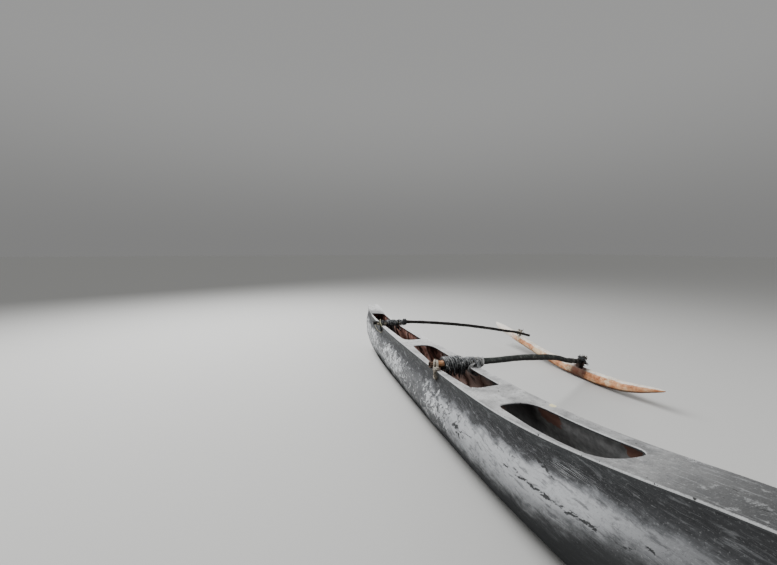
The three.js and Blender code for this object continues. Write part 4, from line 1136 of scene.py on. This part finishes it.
def make_pegs():
    for i, name in enumerate(named("peg_")):
        line, radius = stick_line(name)
        if line[0][2] > line[-1][2]:
            line = line[::-1]
        peg = pole(name + "_split", line, radius * PEG_TAPER, PEG_WOOD, noisy(0.04, 0.5, 0.0012, 20.0 + i),
                   finish=ROUNDED, sides=16, step=0.004)
        place(peg, "bar", name)


make_pegs()


# Float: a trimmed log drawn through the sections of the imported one

LOG_SIDES = 40
LOG_RINGS = 190
LOG_ENDS = np.array((0.0015, 0.006, 0.014))  # the first rings, in from each tip
LOG_START = 0.028  # of the even rings, in from each tip
LOG_LUMPS = ((0.22, 0.8, 0.004, 2.0), (0.5, 0.09, 0.0018, 6.0))  # along and round it, height, seed
LOG_CALM = 0.05  # radius below which the lumps fade out


def make_float():
    low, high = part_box("float_log")
    tree = tree_of("float_log")
    turn = np.linspace(0, CIRCLE, LOG_SIDES, endpoint=False)
    even = np.linspace(low[1] + LOG_START, high[1] - LOG_START, LOG_RINGS)
    ys = np.concatenate([low[1] + LOG_ENDS, even, high[1] - LOG_ENDS[::-1]])
    rings = np.zeros((len(ys), LOG_SIDES, 3))
    for i, y in enumerate(ys):
        centre = Vector(centre_of(slice_of("float_log", 1, y)))
        for k, a in enumerate(turn):
            way = Vector((math.cos(a), 0, math.sin(a)))
            hit = tree.ray_cast(centre, way)[0]
            rings[i, k] = hit if hit is not None else centre + way * 0.002
    for _ in range(3):
        rings[3:-3] = (rings[2:-4] + 2 * rings[3:-3] + rings[4:-2]) / 4
    middle = rings.mean(axis=1, keepdims=True)
    away = rings - middle
    reach = np.linalg.norm(away, axis=2)
    places = np.meshgrid(ys, turn, indexing="ij")
    lump = sum(noisy(*row)(*places) for row in LOG_LUMPS)
    lump *= np.clip(reach.mean(axis=1) / LOG_CALM, 0, 1)[:, None]
    rings = middle + away * (1 + lump / np.maximum(reach, 1e-4))[:, :, None]
    log = tube("float_trimmed_log", rings[:, ::-1], ys, CIRCLE * reach.mean(axis=1), FLOAT_WOOD, 60)
    place(log, "float", "float_log")


make_float()


# Lashings, windings and collars

CROSS_REACH, CROSS_LIFT = 1.3, 0.5  # of a crossing turn, by the distance between turns
SWAY_LIFT = 0.4  # of a turn's sway


def turns_of(name, turns, spread, sway, skewed, seed):
    """Several loops side by side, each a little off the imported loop's middle line, and some
    that cross over them."""
    line, face = loop_of(name)
    away = unit(line - line.mean(axis=0))
    round_it = np.linspace(0, CIRCLE, len(line), endpoint=False)
    out = []
    for k in range(turns + skewed):
        crossing = k >= turns
        off = CROSS_REACH * np.sin(round_it + k) if crossing else np.full(len(line), k - (turns - 1) / 2)
        off = spread * off + sway * bump_field(line, 0.06, seed + 5.3 * k)
        lift = SWAY_LIFT * sway * bump_field(line, 0.05, seed + 3.1 * k)
        lift += CROSS_LIFT * spread if crossing else 0
        moved = line + np.outer(off, face) + lift[:, None] * away
        out.append(resample(np.vstack([moved, moved[:1]]), 91)[0][:-1])
    return out


def knot_round(name, height, turns, half_wide, half_deep, pitch):
    """A few turns round the strands of a lashing, on the near side of its packed loop."""
    line, face = loop_of(name)
    near = np.where(line[:, 1] < line[:, 1].mean())[0]
    i = near[np.argmin(np.abs(line[near, 2] - height))]
    tangent = unit(line[(i + 2) % len(line)] - line[i - 2])
    out = np.cross(tangent, face)
    t = np.linspace(0, CIRCLE * turns, 30 * turns)
    return (line[i] + np.outer(half_wide * np.cos(t), face) + np.outer(half_deep * np.sin(t), out)
            + np.outer(pitch * (t / CIRCLE - turns / 2), tangent))


LASHINGS = [
    # node, rope radius, turns, distance between them, sway, crossing turns, material
    ("lashing_near_port", 0.0064, 3, 0.0135, 0.006, 1, PALE_ROPE),
    ("lashing_near_starboard", 0.0052, 4, 0.0105, 0.004, 1, GREY_ROPE),
    ("lashing_far_port", 0.0052, 4, 0.0105, 0.004, 1, DARK_ROPE),
    ("lashing_far_starboard", 0.0045, 3, 0.009, 0.003, 1, DARK_ROPE),
    ("float_lashing_near", 0.0052, 4, 0.0105, 0.003, 1, DARK_ROPE),
    ("float_lashing_far", 0.0048, 3, 0.0095, 0.003, 0, PALE_ROPE),
]


def make_lashings():
    for i, (name, radius, turns, apart, sway, skewed, material) in enumerate(LASHINGS):
        paths = turns_of(name, turns, apart, sway, skewed, seed=2.0 + i)
        coil = rope(name + "_turns", paths, radius, material, radius * 6, radius * 0.75, closed=True, seed=i)
        place(coil, "rope", name)
    knot = knot_round("lashing_near_port", height=0.532, turns=2, half_wide=0.022, half_deep=0.012,
                      pitch=0.012)
    place(rope("lashing_near_port_knot", [knot], 0.0062, PALE_ROPE, 0.035, 0.004, seed=11), "rope")
    pale = turns_of("lashing_far_port", turns=2, spread=0.02, sway=0.006, skewed=1, seed=21.0)[1:]
    pale = rope("lashing_far_port_pale_turns", pale, 0.0045, YELLOW_ROPE, 0.027, 0.003, closed=True, seed=12)
    place(pale, "rope")


make_lashings()


def girdle(names, xs):
    """The middle and half size, in Y and Z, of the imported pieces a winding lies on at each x."""
    rows = []
    for x in xs:
        ring = np.vstack([slice_of(name, 0, x) for name in names])
        rows.append([*centre_of(ring)[1:], *(np.ptp(ring, axis=0)[1:] / 2)])
    rows = np.array(rows)
    for _ in range(2):
        rows[1:-1] = (rows[:-2] + 2 * rows[1:-1] + rows[2:]) / 4
    return rows


WRAP_POINTS = 40  # a turn
SIDE_DECK = 0.108  # its inner edge in X
RIM_WIDTH = 0.006  # past the hull's side


def wrap_line(names, start, end, pitch, clear, seed, wobble=0.0, slant=0.35, on_deck=None):
    """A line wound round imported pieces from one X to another, lying a little over them. Over
    the deck it stays as high above it as on_deck says."""
    xs = np.linspace(min(start, end), max(start, end), 24)
    turns = abs(end - start) / pitch
    t = np.linspace(0, 1, int(turns * WRAP_POINTS) + 2)
    turn = CIRCLE * turns * t
    lift = clear + wobble * bump_field(np.c_[np.cos(turn), np.sin(turn), 0.35 * turn + seed], 1)
    aslant = bump_field(np.c_[0.5 * turn, np.full(len(t), seed), 0 * turn], 1)
    x = start + (end - start) * t + slant * pitch * aslant
    mid_y, mid_z, half_y, half_z = (np.interp(x, xs, column) for column in girdle(names, xs).T)
    y = mid_y + (half_y + lift) * np.cos(turn)
    z = mid_z + (half_z + lift) * np.sin(turn)
    if on_deck is not None:
        wide, top = deck_edge(y)
        over = (np.abs(x) > SIDE_DECK) & (np.abs(x) < wide + RIM_WIDTH)
        z = np.where(over, np.maximum(z, top + on_deck), z)
    away = np.stack([np.zeros(len(t)), np.cos(turn) * half_z, np.sin(turn) * half_y], 1)
    return np.stack([x, y, z], 1), unit(away)


RAG = 0.004  # thickness


def rag_wrap(name, names, material, seed, start, end, pitch, width, clear, on_deck=None):
    """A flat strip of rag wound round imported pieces, of uneven width."""
    line, away = wrap_line(names, start, end, pitch, clear, seed, 0.003, on_deck=on_deck)
    wide = width * (1 + 0.4 * bump_field(line, 0.03))
    across = unit(np.cross(away, unit(np.gradient(line, axis=0))))
    turn = np.linspace(0, CIRCLE, 10, endpoint=False)[None, :, None]
    rings = (line[:, None] + wide[:, None, None] / 2 * np.cos(turn) * across[:, None]
             + RAG / 2 * np.sin(turn) * away[:, None])
    place(tube(name, rings, run_along(line), np.full(len(line), 0.03), material, 70), "winding")


def rope_wrap(name, names, material, radius, lay, *rows):
    """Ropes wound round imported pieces. A row is what wrap_line takes after their names."""
    place(rope(name, [wrap_line(names, *row)[0] for row in rows], radius, material, lay, 0.0035), "rope")


LEAN = (0.22, 0.22, 0.044)  # spread of the way that a strip leans, in X, Y and Z
HELD_OUT = 0.013  # a hanging strip, from what it leaves


def torn_strips(name, names, material, seed, start, end, count, lengths, turns, hang, width, thickness):
    """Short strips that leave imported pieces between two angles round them. They hang down, or
    else lie over with their tips off the surface."""
    rng = np.random.default_rng(seed)
    xs = np.linspace(start, end, 16)
    rows = girdle(names, xs)
    paths = []
    for _ in range(count):
        x = rng.uniform(start, end)
        mid_y, mid_z, half_y, half_z = (np.interp(x, xs, column) for column in rows.T)
        turn = rng.uniform(*turns)
        way = np.array([0, math.cos(turn), math.sin(turn)])
        round_it = np.array([0, -math.sin(turn), math.cos(turn)]) * rng.choice((-1, 1))
        length = rng.uniform(*lengths)
        lean = rng.normal(0, LEAN)
        t = np.linspace(0, 1, 9)[:, None]
        begin = np.array([x, mid_y + half_y * way[1], mid_z + half_z * way[2]]) + 0.001 * way
        if hang:
            paths.append(begin + HELD_OUT * t * way + length * (t * (0, 0, -1) + t**1.5 * lean))
        else:
            paths.append(begin + length * (t * (0.9 * round_it + lean) + 0.5 * t**2 * way))
    place(strips(name, paths, width, thickness, material, seed), "winding")


LOOSE_STRAND = np.array([
    (0.185, 0.215, 0.566), (0.155, 0.205, 0.549), (0.125, 0.2, 0.535), (0.112, 0.198, 0.52),
    (0.105, 0.196, 0.49), (0.1, 0.195, 0.455),
])


def loose_strands(name, _, material):
    """Three strands that run from the bridge over the starboard rim down into the cockpit."""
    paths = [resample(LOOSE_STRAND + move, 16)[0]
             for move in ((0, 0, 0), (0.012, -0.004, 0.003), (-0.014, 0.003, -0.002))]
    place(strips(name, paths, 0.0075, 0.003, material, 13), "winding")


# For each group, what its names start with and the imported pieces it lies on. Each row has what
# makes it, its name's end and its material.
# Rag: seed, from X, to X, pitch, width, clearance, height over the deck.
# Rope: radius, lay, and for each length from X, to X, pitch, clearance, seed, wobble, slant and
# height over the deck.
# Strips: seed, from X, to X, count, lengths, angles, whether they hang, width, thickness.
# The bridge is what is wound on between the near winding and its collar, over the starboard rim.
WOUND = [
    ("winding_near_", ["winding_near"], [
        (rag_wrap, "rag", GREY_RAG, 1.0, -0.1, 0.074, 0.01, 0.016, 0.0012),
        (rope_wrap, "ropes", GREY_ROPE, 0.0042, 0.025, (-0.1, 0.072, 0.0165, 0.0042, 5.0, 0.004, 0.8),
         (0.07, -0.096, 0.0215, 0.0062, 6.0, 0.004, 0.9)),
        (rope_wrap, "dark_ropes", DARK_ROPE, 0.0046, 0.027, (-0.094, 0.068, 0.018, 0.005, 7.0, 0.004, 0.9)),
        (torn_strips, "hanging_strips", GREY_RAG, 4, -0.1, 0.074, 60, (0.03, 0.095),
         (-3.3, -0.25), True, 0.013, 0.002),
        (torn_strips, "brown_strips", BROWN_RAG, 5, -0.1, 0.074, 12, (0.03, 0.075),
         (-2.6, -0.5), True, 0.012, 0.002),
        (torn_strips, "pale_strips", GREY_ROPE, 8, -0.1, 0.074, 12, (0.03, 0.07),
         (-3.3, -2.2), True, 0.008, 0.0016),
        (torn_strips, "frayed_ends", FRAYED_ROPE, 6, -0.098, 0.076, 90, (0.012, 0.032),
         (0.5, 3.0), False, 0.007, 0.0014),
    ]),
    ("bridge_wrap_", ["boom_near", "bar_near"], [
        (rag_wrap, "rag", GREY_RAG, 8.0, 0.074, 0.135, 0.01, 0.015, 0.0022, 0.008),
        (rag_wrap, "olive_rag", OLIVE_RAG, 9.0, 0.125, 0.205, 0.011, 0.016, 0.0032, 0.008),
        (rope_wrap, "ropes", GREY_ROPE, 0.0045, 0.027,
         (0.074, 0.222, 0.019, 0.0062, 10.0, 0.004, 0.9, 0.01),
         (0.215, 0.085, 0.033, 0.009, 11.0, 0.004, 0.9, 0.014)),
        (torn_strips, "frayed_ends", FRAYED_ROPE, 12, 0.078, 0.21, 40, (0.01, 0.026),
         (0.4, 2.9), False, 0.005, 0.0014),
        (loose_strands, "loose_strands", FRAYED_ROPE),
    ]),
    ("winding_far_", ["winding_far"], [
        (rag_wrap, "rag", GREY_RAG, 1.0, -0.062, 0.054, 0.01, 0.014, 0.0012),
        (rope_wrap, "ropes", GREY_ROPE, 0.004, 0.024, (-0.06, 0.052, 0.019, 0.004, 5.0, 0.003, 0.8)),
        (rope_wrap, "dark_ropes", DARK_ROPE, 0.0044, 0.024, (0.05, -0.056, 0.015, 0.0048, 6.0, 0.003, 0.8)),
        (torn_strips, "hanging_strips", GREY_RAG, 7, -0.062, 0.056, 16, (0.03, 0.08),
         (-2.9, -0.25), True, 0.011, 0.002),
    ]),
    ("bar_far_", ["boom_far", "bar_far"], [
        (rope_wrap, "dark_ropes", DARK_ROPE, 0.0046, 0.026,
         (0.056, 0.155, 0.017, 0.004, 14.0, 0.003, 0.9, 0.008),
         (-0.07, -0.16, 0.023, 0.004, 15.0, 0.003, 0.9, 0.008)),
        (rope_wrap, "grey_ropes", GREY_ROPE, 0.004, 0.024,
         (0.145, 0.06, 0.033, 0.006, 16.0, 0.003, 0.9, 0.01)),
    ]),
]
for prefix, under, rows in WOUND:
    for make, end, *row in rows:
        make(prefix + end, under, *row)
for core in named("winding_", "collar_"):
    recolour(core, BROWN_RAG)


def make_collars():
    for node, radius, material in (("collar_near", 0.005, FRAYED_ROPE), ("collar_far", 0.0048, DARK_ROPE)):
        low, high = (corner[0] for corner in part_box(node))
        tight, _ = wrap_line([node], low + 0.004, high - 0.004, pitch=2.3 * radius, clear=0.4 * radius,
                             seed=2.0, wobble=0.0015)
        loose, _ = wrap_line([node], high - 0.006, low + 0.006, pitch=5.0 * radius, clear=1.6 * radius,
                             seed=3.0, wobble=0.002, slant=0.9)
        place(rope(node + "_turns", [tight, loose], radius, material, radius * 6, radius * 0.8), "rope")


make_collars()

SPLINTERED = [
    # end, lashing there, count, longest, material
    ("near", "float_lashing_near", 26, 0.06, CHOCK_WOOD),
    ("far", "float_lashing_far", 10, 0.03, FAR_BOOM_WOOD),
]
SPLINTERS_FROM = ((0.1, 0.15, 0.3), (1.3, 0.85, 0.8))  # low and high shares of the lashing's box
SPLINTERS_WAY = ((0.35, -0.1, 0.8), (0.45, 0.4, 0.3))  # mean and spread
FIBRES_WAY = ((0.6, -0.3, -0.3), (0.3, 0.3, 0.3))


def make_splinters():
    """Torn wood where the lashings on the float have chafed the ends of the booms."""
    for end, name, count, longest, wood in SPLINTERED:
        low, high = np.array(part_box(name))
        rng = np.random.default_rng(count)
        t = np.linspace(0, 1, 6)[:, None]
        paths = []
        for _ in range(count):
            start = low + (high - low) * rng.uniform(*SPLINTERS_FROM)
            way = unit(rng.normal(*SPLINTERS_WAY))
            bend = 0.15 * rng.normal(0, 1, 3)
            paths.append(start + longest * rng.uniform(0.3, 1.0) * (t * way + t**2 * bend))
        for _ in range(count // 2):
            start = (high[0] + rng.uniform(-0.02, 0.05), rng.uniform(low[1], high[1]),
                     low[2] - rng.uniform(0, 0.05))
            way = rng.normal(*FIBRES_WAY)
            paths.append(start + longest * rng.uniform(0.3, 0.8) * (t * way + t**2 * (0, 0, -0.5)))
        place(strips(f"boom_{end}_splinters", paths, 0.012, 0.007, wood, count, tip=0.02), "pole")


make_splinters()
recolour("chock_near", CHOCK_WOOD)


# Floor and light

FLOOR = 80  # half its side
HORIZON, SKY, SKY_HEIGHT = 0.29, 0.46, 0.4  # strength at the horizon and above it, and from where
LAMPS = [
    # name, place, aim, size, power
    ("key", (-3.0, 5.5, 7.0), (0, -0.3, 0.4), 6.0, 1250),
    ("fill", (6.0, -4.0, 4.5), (0, 0, 0.3), 5.0, 150),
]


def make_stage():
    paint, tree = new_material("matt_floor_paint", 0.9)
    tree.nodes["Principled BSDF"].inputs["Base Color"].default_value = linear("c9c9c7")
    corners = [(x * FLOOR, y * FLOOR, 0) for x, y in ((-1, -1), (1, -1), (1, 1), (-1, 1))]
    mesh_object("floor", corners, [(0, 1, 2, 3)], [paint])
    world = bpy.data.worlds.new("studio")
    world.use_nodes = True
    tree = world.node_tree
    sky = tree.nodes["Background"].inputs
    sky["Color"].default_value = linear("e3e3e2")
    # A little dimmer towards the horizon, where it meets the floor.
    way = add(tree, "ShaderNodeTexCoord")["Generated"]
    height = add(tree, "ShaderNodeSeparateXYZ", {"Vector": way})["Z"]
    strength = add(tree, "ShaderNodeMapRange", {"Value": height, "From Max": SKY_HEIGHT,
                   "To Min": HORIZON, "To Max": SKY}, interpolation_type="SMOOTHSTEP")[0]
    tree.links.new(strength, sky["Strength"])
    bpy.context.scene.world = world
    for name, place_at, aim, size, power in LAMPS:
        light = bpy.data.lights.new(name, "AREA")
        light.size = size
        light.energy = power
        lamp = shown(name, light)
        lamp.location = place_at
        lamp.rotation_euler = (Vector(place_at) - Vector(aim)).to_track_quat("Z", "Y").to_euler()


make_stage()
